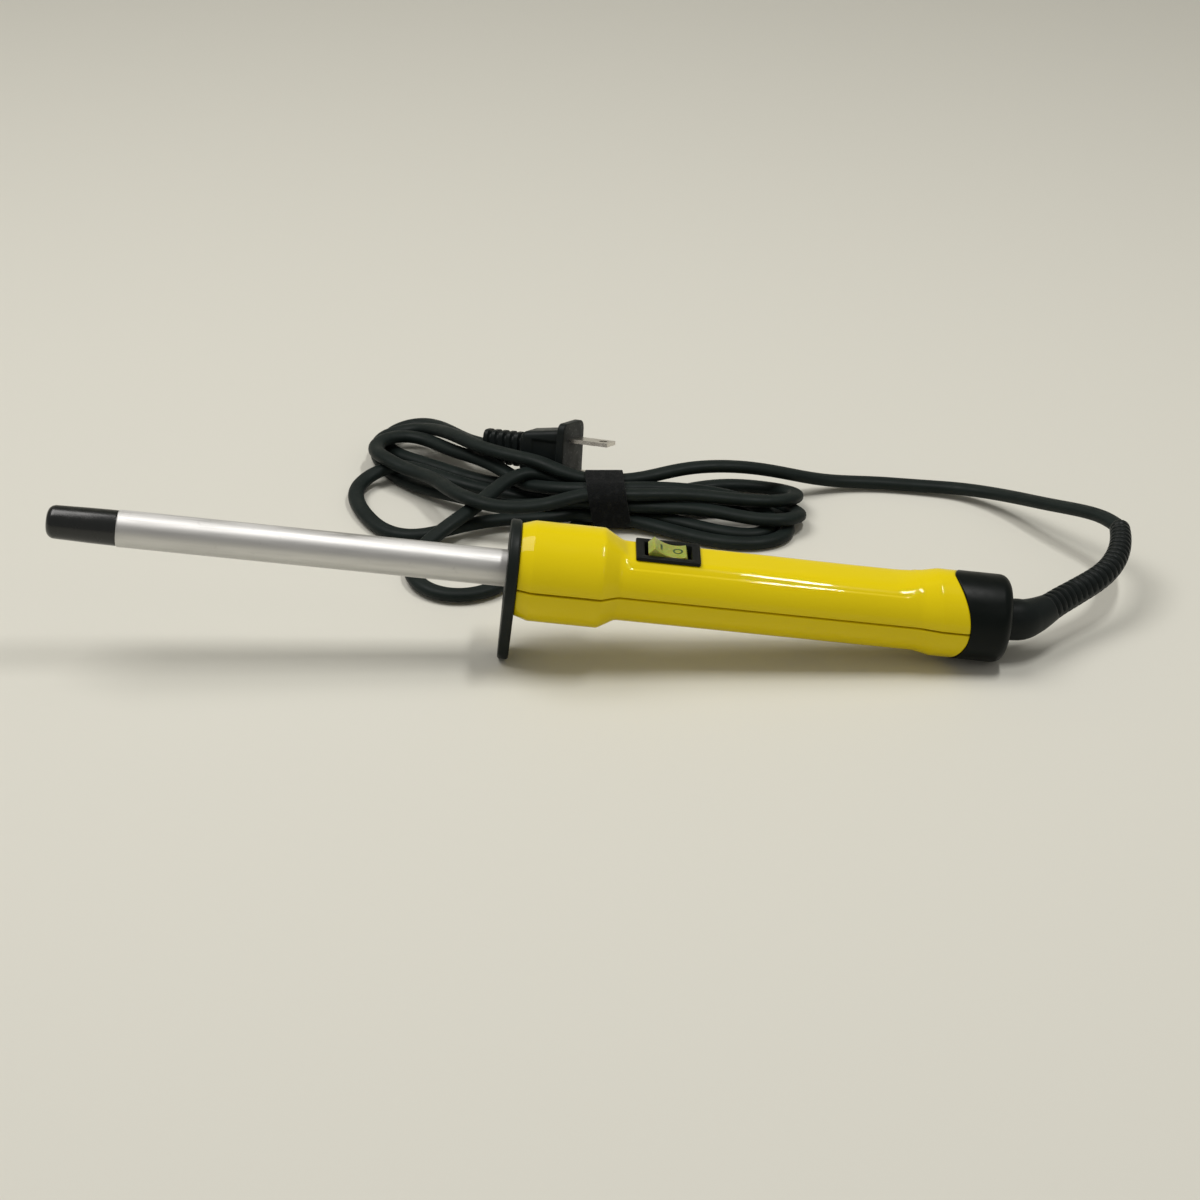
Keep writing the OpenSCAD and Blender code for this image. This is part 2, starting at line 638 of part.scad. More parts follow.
barrel_tube();
cool_tip();
guard_plate();
barrel_bush();
guard_screws();
retaining_ring();
heat_spreader_upper();
heat_spreader_lower();
ceramic_heater();
heater_spring();
upper_shell();
lower_shell();
shell_screws();
switch_housing();
switch_rocker();
rocker_plunger();
contact_lever();
common_terminal();
load_terminal();
lamp_terminal();
pilot_lamp();
thermal_fuse();
crimp_sleeves();
switch_lead();
heater_lead();
return_lead();
line_lead();
lamp_lead();
end_cap();
brush_block();
line_brush();
neutral_brush();
swivel_core();
line_slip_ring();
neutral_slip_ring();
cord_boot();
cord_lead();
loops_tip_side();
loops_cord_side();
plug_lead();
cord_tie();
plug_body();
plug_blade_wide();
plug_blade_narrow();
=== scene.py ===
"""The looks of a slim corded curling wand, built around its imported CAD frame.

Wand parts are drawn in millimetres along the wand's own axis and then put in place: s runs along x, from just
behind the guard's front face, and is negative on the barrel. The lead, its tie and its plug are drawn in the
row frame, in millimetres too. Everything ends up in metres.
"""
import json
import math

import bmesh
import bpy
import numpy as np
from mathutils import Matrix, Vector


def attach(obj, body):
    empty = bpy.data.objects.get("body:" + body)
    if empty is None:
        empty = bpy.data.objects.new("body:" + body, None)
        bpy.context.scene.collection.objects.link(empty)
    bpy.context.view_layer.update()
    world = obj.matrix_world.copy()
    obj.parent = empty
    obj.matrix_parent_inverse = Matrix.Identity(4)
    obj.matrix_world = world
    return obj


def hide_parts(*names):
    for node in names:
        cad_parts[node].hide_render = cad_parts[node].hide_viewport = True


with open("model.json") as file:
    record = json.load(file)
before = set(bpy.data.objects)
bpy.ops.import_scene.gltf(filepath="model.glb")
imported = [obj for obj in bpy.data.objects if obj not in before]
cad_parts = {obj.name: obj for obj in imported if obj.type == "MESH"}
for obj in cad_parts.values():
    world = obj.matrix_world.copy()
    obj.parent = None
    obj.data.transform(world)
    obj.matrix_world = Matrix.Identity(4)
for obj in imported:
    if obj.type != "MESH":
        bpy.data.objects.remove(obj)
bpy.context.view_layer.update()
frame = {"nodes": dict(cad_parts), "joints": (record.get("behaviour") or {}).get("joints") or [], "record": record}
scene = bpy.context.scene

MM = 0.001
TAU = 2 * math.pi

# ---- Where the wand lies: its axis comes from the swivel joint ----
SWIVEL_S = 147
swivel = next(j for j in frame["joints"] if j["name"] == "cord_swivel")
axis = Vector(swivel["axis"]).normalized()
wand_up = axis.cross(Vector((0, 1, 0)))
wand_start = Vector(swivel["pos_m"]) - axis * SWIVEL_S * MM
wand_turn = Matrix((axis, (0, 1, 0), wand_up)).transposed().to_4x4()
WAND = Matrix.Translation(wand_start) @ wand_turn @ Matrix.Scale(MM, 4)
ROW = Matrix.Scale(MM, 4)

# ---- Driving sizes of the wand, in mm, the same as the CAD part's ----
GUARD_T = 3.8
GUARD_BACK = 3
GUARD_FACE = GUARD_BACK - GUARD_T
GUARD_R = 17
FOOT_DROP = 34.2
FOOT_R = 8.5
BARREL_R = 6.35
BARREL_WALL = 0.8
BARREL_LEN = 132.6
TIP_LEN = 23.7
HEAD_R = 17.2
BODY_R = 13.8
RIM_R = 15.05
CAP_R = 15.2
CAP_END = 171.5
PANEL_Z = 11.7
PANEL_S = (39.6, 134)
WALL = 2
SWITCH_S = 53.1
PIVOT_Z = 11.6
ROCKER_TRAVEL = 22
BOOT_ROOT_R = 7.25
BOOT_TIP_R = 3.7
CORD_W = 6.2
CORD_T = 4.4
TIE_X = 26.5


# ============================================================
# Mesh helpers
# ============================================================
def skin(rings, loop=False):
    """Points and faces of a closed tube through rings of points, all with the same number of points."""
    rings = np.asarray(rings, float)
    count, size = rings.shape[:2]
    faces = []
    for i in range(count if loop else count - 1):
        a, b = i * size, (i + 1) % count * size
        for k in range(size):
            m = (k + 1) % size
            faces.append((a + k, a + m, b + m, b + k))
    if not loop:
        faces.append(tuple(range(size - 1, -1, -1)))
        faces.append(tuple((count - 1) * size + k for k in range(size)))
    return rings.reshape(-1, 3), faces


def thick_sheet(outer, inner):
    """Points and faces of a closed sheet between two grids of points of the same size."""
    rows, columns = outer.shape[:2]
    half = rows * columns
    faces = []
    for i in range(rows - 1):
        for k in range(columns - 1):
            q = (i * columns + k, i * columns + k + 1, (i + 1) * columns + k + 1, (i + 1) * columns + k)
            faces += [q, tuple(half + v for v in q[::-1])]
    border = (list(range(columns)) + [i * columns + columns - 1 for i in range(1, rows)]
              + [(rows - 1) * columns + k for k in range(columns - 2, -1, -1)]
              + [i * columns for i in range(rows - 2, 0, -1)])
    for v, w in zip(border, border[1:] + border[:1]):
        faces.append((v, half + v, half + w, w))
    return np.vstack([outer.reshape(-1, 3), inner.reshape(-1, 3)]), faces


def box_shape(low, high):
    (x0, y0, z0), (x1, y1, z1) = low, high
    points = [(x, y, z) for x in (x0, x1) for y in (y0, y1) for z in (z0, z1)]
    faces = [(0, 1, 3, 2), (4, 6, 7, 5), (0, 4, 5, 1), (2, 3, 7, 6), (0, 2, 6, 4), (1, 5, 7, 3)]
    return points, faces


def around(count):
    """Angles all the way round."""
    return np.arange(count) * TAU / count


def cylinder_shape(centre, radius, low, high, count=40):
    """An upright cylinder round centre (x, y)."""
    x, y = centre
    return skin([[(x + radius * math.cos(a), y + radius * math.sin(a), z) for a in around(count)]
                 for z in (low, high)])


def lathe(profile, count=96, loop=False):
    """A turned shape round the x axis. The profile is a list of (s, radius)."""
    angle = around(count)
    rings = [np.stack([np.full(count, s), r * np.sin(angle), r * np.cos(angle)], 1) for s, r in profile]
    return skin(rings, loop=loop)


def joined(*parts):
    """Several (points, faces) pairs as one."""
    points, faces = [], []
    for p, f in parts:
        start = sum(len(q) for q in points)
        points.append(np.asarray(p, float))
        faces += [tuple(start + i for i in face) for face in f]
    return np.vstack(points), faces


def piece(name, shape, place, body, slot, nodes=(), sharp=38, material=None):
    """A new mesh piece that rides on a body and stands for CAD nodes. Edges over sharp degrees stay crisp."""
    points, faces = shape
    mesh = bpy.data.meshes.new(name)
    mesh.from_pydata([place @ Vector(p) for p in points], [], faces)
    work = bmesh.new()
    work.from_mesh(mesh)
    bmesh.ops.remove_doubles(work, verts=work.verts, dist=1e-7)
    bmesh.ops.recalc_face_normals(work, faces=work.faces)
    work.to_mesh(mesh)
    work.free()
    mesh.validate()
    mesh.polygons.foreach_set("use_smooth", [True] * len(mesh.polygons))
    mesh.set_sharp_from_angle(angle=math.radians(sharp))
    mesh.materials.append(material or FINISHES[slot])
    obj = bpy.data.objects.new(name, mesh)
    scene.collection.objects.link(obj)
    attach(obj, body)
    if nodes:
        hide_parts(*nodes)
    return obj


def carve(obj, cutters, place, sharp):
    """Cuts closed shapes out of a piece."""
    for points, faces in cutters:
        mesh = bpy.data.meshes.new("cutter")
        mesh.from_pydata([tuple(place @ Vector(p)) for p in points], [], faces)
        tool = bpy.data.objects.new("cutter", mesh)
        scene.collection.objects.link(tool)
        cut = obj.modifiers.new("cut", "BOOLEAN")
        cut.operation = "DIFFERENCE"
        cut.solver = "EXACT"
        cut.object = tool
        bpy.context.view_layer.update()
        made = bpy.data.meshes.new_from_object(obj.evaluated_get(bpy.context.evaluated_depsgraph_get()))
        obj.modifiers.clear()
        obj.data = made
        bpy.data.objects.remove(tool)
    obj.data.set_sharp_from_angle(angle=math.radians(sharp))


def filleted(corners, steps=6):
    """A polyline with its corners rounded. Corners are (x, y, fillet radius)."""
    out = [np.array(corners[0][:2], float)]
    for before, here, after in zip(corners, corners[1:], corners[2:]):
        p = np.array(here[:2], float)
        a, b = np.array(before[:2], float) - p, np.array(after[:2], float) - p
        la, lb = np.linalg.norm(a), np.linalg.norm(b)
        a, b = a / la, b / lb
        turn = math.acos(max(-1.0, min(1.0, float(a @ b))))
        reach = min(here[2] / math.tan(turn / 2), 0.49 * la, 0.49 * lb) if here[2] else 0
        if reach < 1e-6:
            out.append(p)
            continue
        radius = reach * math.tan(turn / 2)
        centre = p + (a + b) / np.linalg.norm(a + b) * radius / math.sin(turn / 2)
        start, end = p + a * reach - centre, p + b * reach - centre
        for t in np.linspace(0, 1, steps):
            v = start * (1 - t) + end * t
            out.append(centre + v / np.linalg.norm(v) * radius)
    out.append(np.array(corners[-1][:2], float))
    return np.array(out)


def rounded_box(half_x, half_y, radius, steps=6):
    """Outline of a rounded rectangle as points (x, y)."""
    out = []
    for k, (side_x, side_y) in enumerate(((1, 1), (-1, 1), (-1, -1), (1, -1))):
        centre = side_x * (half_x - radius), side_y * (half_y - radius)
        for t in np.linspace(0, 1, steps):
            a = math.pi / 2 * (k + t)
            out.append((centre[0] + radius * math.cos(a), centre[1] + radius * math.sin(a)))
    return np.array(out)


def edge_rounding(radius, steps):
    """Points of a rounded edge as (inset from the side, depth below the top), from the side to the top."""
    return [(radius * (1 - math.cos(a)), radius * (1 - math.sin(a)))
            for a in np.linspace(0, math.pi / 2, steps)]


def smooth_min(a, b, width):
    near = np.maximum(width - np.abs(a - b), 0) / width
    return np.minimum(a, b) - near * near * width / 4


def smooth_max(a, b, width):
    return -smooth_min(-a, -b, width)


def step(low, high, x):
    """0 below low, 1 above high, smooth between."""
    t = np.clip((np.asarray(x, float) - low) / (high - low), 0, 1)
    return t * t * (3 - 2 * t)


def arc_length(line):
    """Distance along a line of points, at each of them."""
    return np.concatenate([[0], np.cumsum(np.linalg.norm(np.diff(line, axis=0), axis=1))])


def along(line, arc, at):
    """Points of a line at distances along it; arc is its arc_length."""
    return np.stack([np.interp(at, arc, line[:, k]) for k in range(line.shape[1])], -1)


def heading(line):
    """Unit tangents of a line of points."""
    d = np.gradient(line, axis=0)
    return d / np.linalg.norm(d, axis=1)[:, None]


def sweep(line, section):
    """A tube along a line. section(i) gives the outline there as points (level, up)."""
    rings = []
    for i, (p, t) in enumerate(zip(line, heading(line))):
        level = np.array((-t[1], t[0], 0.0))
        level /= np.linalg.norm(level)
        up = np.cross(t, level)
        up *= 1 if up[2] > 0 else -1
        rings.append([p + a * level + b * up for a, b in section(i)])
    return skin(rings)


# ============================================================
# Materials
# ============================================================
class Surface:
    """A Principled material with a few helpers for its nodes. Sizes of patterns are in millimetres."""

    def __init__(self, name, colour, rough, metallic=0.0, **inputs):
        self.name, self.colour, self.normal = name, colour, None
        self.material = bpy.data.materials.new(name)
        self.material.use_nodes = True
        self.material.diffuse_color = (*colour, 1)
        tree = self.material.node_tree
        self.nodes, self.links = tree.nodes, tree.links
        self.shader = self.nodes["Principled BSDF"]
        self.shader.inputs["Base Color"].default_value = (*colour, 1)
        self.shader.inputs["Roughness"].default_value = rough
        self.shader.inputs["Metallic"].default_value = metallic
        for socket, value in inputs.items():
            self.shader.inputs[socket.replace("_", " ")].default_value = value
        coordinates = self.nodes.new("ShaderNodeTexCoord")
        self.along_wand = self.nodes.new("ShaderNodeMapping")
        self.along_wand.inputs["Rotation"].default_value = (0, -math.asin(-axis.z), 0)
        self.links.new(coordinates.outputs["Object"], self.along_wand.inputs["Vector"])

    def noise(self, size, detail=3.0, stretch=(1, 1, 1), seed=0.0):
        """Noise with lumps of that size; stretch lengthens them along the wand, across it and up."""
        scale = self.nodes.new("ShaderNodeMapping")
        scale.inputs["Scale"].default_value = [1 / k for k in stretch]
        scale.inputs["Location"].default_value = (seed, seed * 0.7, seed * 0.3)
        self.links.new(self.along_wand.outputs["Vector"], scale.inputs["Vector"])
        made = self.nodes.new("ShaderNodeTexNoise")
        made.inputs["Scale"].default_value = 1 / (size * MM)
        made.inputs["Detail"].default_value = detail
        made.inputs["Roughness"].default_value = 0.55
        self.links.new(scale.outputs["Vector"], made.inputs["Vector"])
        return made.outputs["Fac"]

    def cells(self, size, randomness=1.0):
        """Distance from the middle of the nearest cell."""
        made = self.nodes.new("ShaderNodeTexVoronoi")
        made.inputs["Scale"].default_value = 1 / (size * MM)
        made.inputs["Randomness"].default_value = randomness
        self.links.new(self.along_wand.outputs["Vector"], made.inputs["Vector"])
        return made.outputs["Distance"]

    def ramp(self, value, low, high, start=0.35, end=0.65):
        """A number that goes from low to high as value goes from start to end."""
        made = self.nodes.new("ShaderNodeMapRange")
        for socket, number in (("From Min", start), ("From Max", end), ("To Min", low), ("To Max", high)):
            made.inputs[socket].default_value = number
        self.links.new(value, made.inputs["Value"])
        return made.outputs["Result"]

    def tint(self, amount, colour):
        """Mixes a colour over what the base colour is so far."""
        mix = self.nodes.new("ShaderNodeMix")
        mix.data_type = "RGBA"
        self.links.new(amount, mix.inputs["Factor"])
        base = self.shader.inputs["Base Color"]
        if base.links:
            self.links.new(base.links[0].from_socket, mix.inputs[6])
        else:
            mix.inputs[6].default_value = (*self.colour, 1)
        mix.inputs[7].default_value = (*colour, 1)
        self.links.new(mix.outputs[2], base)
        return self

    def patches(self, colour, amount, size, detail=3.0, start=0.35, end=0.65, **pattern):
        """Lets another colour show in patches of that size, up to that amount."""
        return self.tint(self.ramp(self.noise(size, detail, **pattern), 0, amount, start, end), colour)

    def vary_rough(self, low, high, size, detail=4.0, **pattern):
        made = self.ramp(self.noise(size, detail, **pattern), low, high)
        self.links.new(made, self.shader.inputs["Roughness"])
        return self

    def bump(self, value, depth):
        """Raises the surface by depth mm where value is 1."""
        made = self.nodes.new("ShaderNodeBump")
        made.inputs["Distance"].default_value = depth * MM
        made.inputs["Strength"].default_value = 1
        self.links.new(value, made.inputs["Height"])
        if self.normal:
            self.links.new(self.normal, made.inputs["Normal"])
        self.normal = made.outputs["Normal"]
        self.links.new(self.normal, self.shader.inputs["Normal"])
        return self

    def worn_edges(self, colour):
        """A paler tone where the surface is convex, broken up by noise."""
        geometry = self.nodes.new("ShaderNodeNewGeometry")
        edge = self.ramp(geometry.outputs["Pointiness"], 0, 1, start=0.53, end=0.62)
        broken = self.ramp(self.noise(2.5, 4, seed=3.1), 0, 0.35)
        both = self.nodes.new("ShaderNodeMath")
        both.operation = "MULTIPLY"
        self.links.new(edge, both.inputs[0])
        self.links.new(broken, both.inputs[1])
        return self.tint(both.outputs[0], colour)


def times(colour, factor):
    return tuple(c * factor for c in colour)


def moulded(name, colour, rough, grain=0.35, depth=0.012, mottle=0.85, **inputs):
    """Moulded plastic: a fine grain in the surface, and faint unevenness in colour and gloss."""
    made = Surface(name, colour, rough, **inputs)
    made.patches(times(colour, mottle), 0.6, size=9)
    made.vary_rough(rough * 0.85, rough * 1.15, size=4, seed=1.7)
    made.bump(made.noise(grain, seed=0.4), depth)
    return made


def yellow_gloss():
    """Glossy pigmented shell: a clear coat over the colour, faintly wavy, with a few paler specks."""
    made = Surface("shell_yellow", (0.75, 0.585, 0.003), 0.24, Specular_IOR_Level=0.02, Coat_Weight=0.42,
                   Coat_Roughness=0.035, Coat_IOR=1.45)
    made.patches((0.71, 0.545, 0.002), 0.5, size=22, stretch=(3, 1, 1))
    made.patches((0.79, 0.63, 0.012), 0.25, size=0.8, start=0.62, end=0.8, seed=5.0)
    made.vary_rough(0.16, 0.27, size=6, stretch=(2, 1, 1), seed=2.0)
    made.bump(made.noise(2.6, 2, stretch=(2.5, 1, 1), seed=4.0), 0.012)
    made.bump(made.noise(0.18, 2, seed=6.0), 0.0012)
    return made


def barrel_metal():
    """Satin aluminium with fine lines along it and a few darker marks from heat."""
    made = Surface("barrel_metal", (0.66, 0.655, 0.64), 0.4, metallic=1.0, Anisotropic=0.45)
    made.patches((0.60, 0.595, 0.585), 0.5, size=14, stretch=(5, 1, 1))
    made.vary_rough(0.46, 0.6, size=1.2, stretch=(14, 1, 1), seed=1.0)
    made.bump(made.noise(0.12, stretch=(30, 1, 1), seed=2.0), 0.004)
    made.patches((0.44, 0.43, 0.42), 0.3, size=3, detail=5, start=0.62, end=0.75, seed=9.0)
    return made


def brushed(name, colour, rough=0.3, stretch=(12, 1, 1)):
    """Drawn or rolled metal, with fine lines along it and a little tarnish."""
    made = Surface(name, colour, rough, metallic=1.0)
    made.patches(times(colour, 0.78), 0.5, size=5, detail=4)
    made.vary_rough(rough * 0.75, rough * 1.35, size=0.6, stretch=stretch, seed=1.0)
    made.bump(made.noise(0.1, stretch=stretch, seed=2.0), 0.004)
    return made


def rubber(name, colour, rough, bloom):
    """Flexible sheath: matte, with a faint grey bloom, handling marks and a fine grain."""
    made = Surface(name, colour, rough, Sheen_Weight=0.02, Sheen_Roughness=0.5, Specular_IOR_Level=0.13)
    made.patches(bloom, 0.7, size=12, detail=4, seed=1.3)
    made.patches(times(bloom, 1.6), 0.35, size=1.1, detail=4, start=0.6, end=0.78, seed=2.9)
    made.vary_rough(rough * 0.86, rough * 1.16, size=5, seed=4.4)
    made.bump(made.noise(0.5, seed=0.2), 0.02)
    return made


def lime_translucent():
    """Clear-coated translucent plastic, as the lamp under it needs."""
    made = Surface("rocker_lime", (0.49, 0.54, 0.075), 0.16, Transmission_Weight=0.35, IOR=1.46,
                   Subsurface_Weight=0.35, Subsurface_Scale=0.002, Coat_Weight=0.4, Coat_Roughness=0.08)
    made.patches((0.36, 0.41, 0.045), 0.6, size=3.5)
    made.vary_rough(0.12, 0.24, size=1.5, seed=1.0)
    made.bump(made.noise(0.4, 2, seed=2.0), 0.004)
    return made


def strap_fabric():
    """Hook-and-loop fabric: small loops with fuzz and paler lint on them."""
    made = Surface("strap_fabric", (0.0045, 0.0052, 0.0055), 0.9, Sheen_Weight=0.06, Sheen_Roughness=0.4,
                   Specular_IOR_Level=0.1)
    loops = made.cells(0.42, randomness=0.8)
    made.tint(made.ramp(loops, 0.8, 0, start=0.1, end=0.6), (0.011, 0.012, 0.0125))
    made.patches((0.018, 0.019, 0.019), 0.5, size=2.4, detail=4, start=0.52, end=0.7)
    made.bump(loops, -0.14)
    made.bump(made.noise(0.16, seed=1.0), 0.08)
    return made


def speckled_plug():
    """The plug's face, with pale grains in the rubber."""
    made = rubber("plug_face", (0.016, 0.018, 0.018), 0.5, (0.024, 0.027, 0.026))
    made.tint(made.ramp(made.cells(1.5), 0.75, 0, start=0.12, end=0.3), (0.085, 0.085, 0.08))
    return made


def nickel():
    """Plated brass of the blades, with dull spots."""
    made = brushed("blade_metal", (0.66, 0.63, 0.58), 0.27, stretch=(8, 1, 1))
    made.patches((0.42, 0.38, 0.33), 0.6, size=2.2, detail=4, start=0.5, end=0.72, seed=7.0)
    return made


def lamp_glass():
    made = Surface("lamp_glass", (0.95, 0.42, 0.12), 0.06, Transmission_Weight=0.85, IOR=1.47)
    made.patches((0.85, 0.30, 0.08), 0.5, size=2)
    made.bump(made.noise(0.8, 2), 0.004)
    return made


FINISHES = {made.name: made.material for made in (
    barrel_metal(),
    moulded("tip_plastic", (0.0032, 0.0046, 0.0042), 0.24, grain=1.4, depth=0.006, Specular_IOR_Level=0.55),
    moulded("guard_plastic", (0.008, 0.0115, 0.0100), 0.42,
            Specular_IOR_Level=0.15).worn_edges((0.035, 0.04, 0.038)),
    yellow_gloss(),
    moulded("cap_black", (0.0026, 0.0045, 0.0037), 0.36,
            Specular_IOR_Level=0.12).worn_edges((0.012, 0.014, 0.013)),
    moulded("bezel_black", (0.0045, 0.0055, 0.0052), 0.42, grain=0.25, Specular_IOR_Level=0.15),
    lime_translucent(),
    rubber("cord_rubber", (0.0062, 0.0102, 0.0090), 0.5, bloom=(0.0105, 0.0160, 0.0142)),
    rubber("boot_rubber", (0.0055, 0.0080, 0.0076), 0.4, bloom=(0.0095, 0.0125, 0.0118)),
    rubber("plug_rubber", (0.0060, 0.0085, 0.0082), 0.42, bloom=(0.0105, 0.0138, 0.0132)),
    strap_fabric(),
    nickel(),
    brushed("contact_brass", (0.78, 0.57, 0.25), 0.28),
    brushed("spring_steel", (0.50, 0.50, 0.52), 0.3),
    brushed("zinc_screw", (0.62, 0.62, 0.60), 0.26),
    moulded("bush_resin", (0.42, 0.29, 0.16), 0.55, mottle=0.7),
    moulded("block_resin", (0.045, 0.047, 0.046), 0.5),
    moulded("core_resin", (0.72, 0.68, 0.56), 0.45, mottle=0.93),
    moulded("heater_ceramic", (0.78, 0.76, 0.70), 0.6, grain=0.2, mottle=0.9),
    brushed("heater_aluminium", (0.60, 0.60, 0.61), 0.35),
    lamp_glass(),
    moulded("wire_red", (0.46, 0.02, 0.015), 0.35, mottle=0.8),
    moulded("wire_white", (0.76, 0.75, 0.70), 0.35, mottle=0.93),
    moulded("wire_black", (0.02, 0.02, 0.021), 0.35),
    brushed("fuse_case", (0.66, 0.66, 0.63), 0.25),
)}
slots = {p["node"]: p["material_slot"] for p in frame["record"]["subparts"]}
for name, node in frame["nodes"].items():
    node.data.materials.clear()
    node.data.materials.append(FINISHES[slots[name]])


# ============================================================
# The lead: its route point by point in mm, from the boot's tip through the hank to the plug's tail
# ============================================================
LEAD = [(213, 60, 20), (211, 66, 20), (207, 73, 19), (201, 81, 17), (192, 94, 13), (181, 111, 8),
        (165, 126, 4), (148, 131, 3), (131, 134, 3), (115, 133, 4), (102, 129, 8), (90, 126, 12),
        (77, 123, 15), (65, 121, 16), (54, 119, 15.5), (44, 115, 14.5)]
# Loops on the tip side of the tie and on the cord side, in the order in which the lead runs through them
TIP_LOOP_1 = [(8, 116, 15), (-3, 123, 16), (-13, 130, 16.5), (-23, 139, 16), (-32, 152, 14.5),
              (-40, 164, 11.5), (-47.5, 173, 8), (-56.5, 174.5, 5), (-63.5, 168, 3), (-63.5, 156, 2.8),
              (-57, 141, 3), (-47.5, 130.5, 3.5), (-38, 122, 4.5), (-28, 116, 5), (-18, 109, 5.5),
              (-6, 105, 6), (7, 100, 8)]
CORD_LOOP_1 = [(48, 100, 9), (62, 99, 8.5), (74, 95, 7.5), (84, 91.5, 6), (92, 91, 5), (98, 96, 4),
               (99, 104, 3), (94, 111.5, 3), (80, 114.5, 3), (62, 115, 5), (47, 114, 8)]
TIP_LOOP_2 = [(9, 116, 11), (3, 121, 12.5), (-4, 120, 13), (-10, 116, 12.5), (-15, 110, 12),
              (-19, 103, 11.5), (-24, 95, 11), (-28, 90, 10), (-33, 84, 8.5), (-39, 78, 6), (-44, 69, 4),
              (-45, 58, 3), (-41, 47, 3), (-33, 40, 3), (-25, 39, 3), (-18, 41, 3), (-11, 48, 3),
              (-3, 61, 3), (5, 76, 3), (13, 89, 3.5)]
CORD_LOOP_2 = [(45, 100, 4), (58, 94, 3.5), (69, 89, 3.2), (79, 87, 3), (87.5, 88.5, 3), (92, 96, 3),
               (89.5, 105, 4), (80, 111, 6), (64, 112, 9.5), (46, 108, 13)]
TIP_LOOP_3 = [(9, 108, 13.5), (3, 114, 12.5), (-7, 122, 12), (-16, 133, 11), (-26, 143, 10), (-35, 151, 9),
              (-41, 159, 8.4), (-48.5, 166, 8), (-57.5, 167, 8), (-64.5, 161, 8), (-65, 151, 8),
              (-59, 140, 8.4), (-49, 129.5, 9.5), (-40, 120, 11.5), (-33, 105, 13.5), (-25, 95, 14),
              (-18, 90, 14), (-9, 88, 14), (0, 89, 14), (9, 94, 14)]
CORD_LOOP_3 = [(48, 102, 13), (62, 103, 12), (75, 102, 11), (86, 102, 10), (94, 104, 9), (99.5, 110, 7),
               (100, 119, 5), (95, 126, 3.5), (86, 130, 3), (76, 132, 3), (64, 130, 3), (50, 122, 3.5)]
TIP_LOOP_4 = [(6, 118, 3.5), (-8, 125, 3), (-22, 132, 3), (-36, 138, 3.2), (-47, 142, 4.5), (-54, 142, 5.5),
              (-61, 141, 5), (-67, 137, 3.5), (-71, 127, 2.8), (-69, 115, 2.6), (-64, 103, 2.6),
              (-58, 93, 2.6), (-51, 88, 2.6), (-44, 87, 2.8), (-37, 88, 4), (-29, 92, 4.5), (-21, 96, 4.5),
              (-12, 99, 4.5), (-2, 100, 4.5), (8, 100, 4.3)]
CORD_LOOP_4 = [(45, 96, 3.5), (57, 90, 3), (68, 85, 2.6), (78, 83, 2.6), (86.5, 83.5, 2.6), (93.5, 88, 2.6),
               (96, 97, 2.6), (93, 106, 3), (84.5, 112, 3), (73, 113, 3.5), (60, 111, 5), (46, 108, 8)]
TO_PLUG = [(9, 110, 8), (6, 124, 5.5), (-3, 129, 4), (-12, 129, 3), (-22, 132, 3), (-32, 140, 3),
           (-41, 148, 3), (-50, 155, 3), (-58, 161, 3), (-63.5, 169, 3.2), (-62.5, 177.5, 4),
           (-56, 182.5, 5.5), (-47, 182.5, 7), (-39.5, 175, 8), (-33.5, 165, 9.5), (-28, 155, 11.5),
           (-24, 149, 13)]
PLUG_TAIL = (-20.5, 147.5, 13)

# The tie holds the runs three wide and three high
NEAR, MID, FAR = 99.7, 106.0, 112.3
LOW, MIDDLE, HIGH = 4.2, 9.0, 13.8
CORD_FLOOR = CORD_T / 2 + 0.05


def through_tie(y, z, inward):
    """Points of a straight run through the tie, towards the tip side if inward."""
    half = 7.5
    xs = (TIE_X + half, TIE_X, TIE_X - half)
    return [(x, y, z) for x in (xs if inward else xs[::-1])]


def curve_through(points, spacing):
    """A smooth curve through points: a centripetal Catmull-Rom spline."""
    p = np.array(points, float)
    p = np.vstack([2 * p[0] - p[1], p, 2 * p[-1] - p[-2]])
    out = []
    for p0, p1, p2, p3 in zip(p, p[1:], p[2:], p[3:]):
        t1 = np.linalg.norm(p1 - p0) ** 0.5
        t2 = t1 + np.linalg.norm(p2 - p1) ** 0.5
        t3 = t2 + np.linalg.norm(p3 - p2) ** 0.5
        t = np.linspace(t1, t2, max(2, int(np.linalg.norm(p2 - p1) / spacing)), endpoint=False)[:, None]
        a1 = (t1 - t) / t1 * p0 + t / t1 * p1
        a2 = (t2 - t) / (t2 - t1) * p1 + (t - t1) / (t2 - t1) * p2
        a3 = (t3 - t) / (t3 - t2) * p2 + (t - t2) / (t3 - t2) * p3
        b1 = (t2 - t) / t2 * a1 + t / t2 * a2
        b2 = (t3 - t) / (t3 - t1) * a2 + (t - t1) / (t3 - t1) * a3
        out.append((t2 - t) / (t2 - t1) * b1 + (t - t1) / (t2 - t1) * b2)
    return np.vstack(out + [p[-2:-1]])


def spaced(line, spacing):
    """The same line with its points at an even spacing."""
    arc = arc_length(line)
    return along(line, arc, np.linspace(0, arc[-1], int(round(arc[-1] / spacing)) + 1))


def relaxed(line, rounds):
    """Smooths a line a little and keeps it above the table."""
    line = line.copy()
    for _ in range(rounds):
        line[1:-1] = (line[:-2] + 2 * line[1:-1] + line[2:]) / 4
        line[:, 2] = np.maximum(line[:, 2], CORD_FLOOR)
    return line


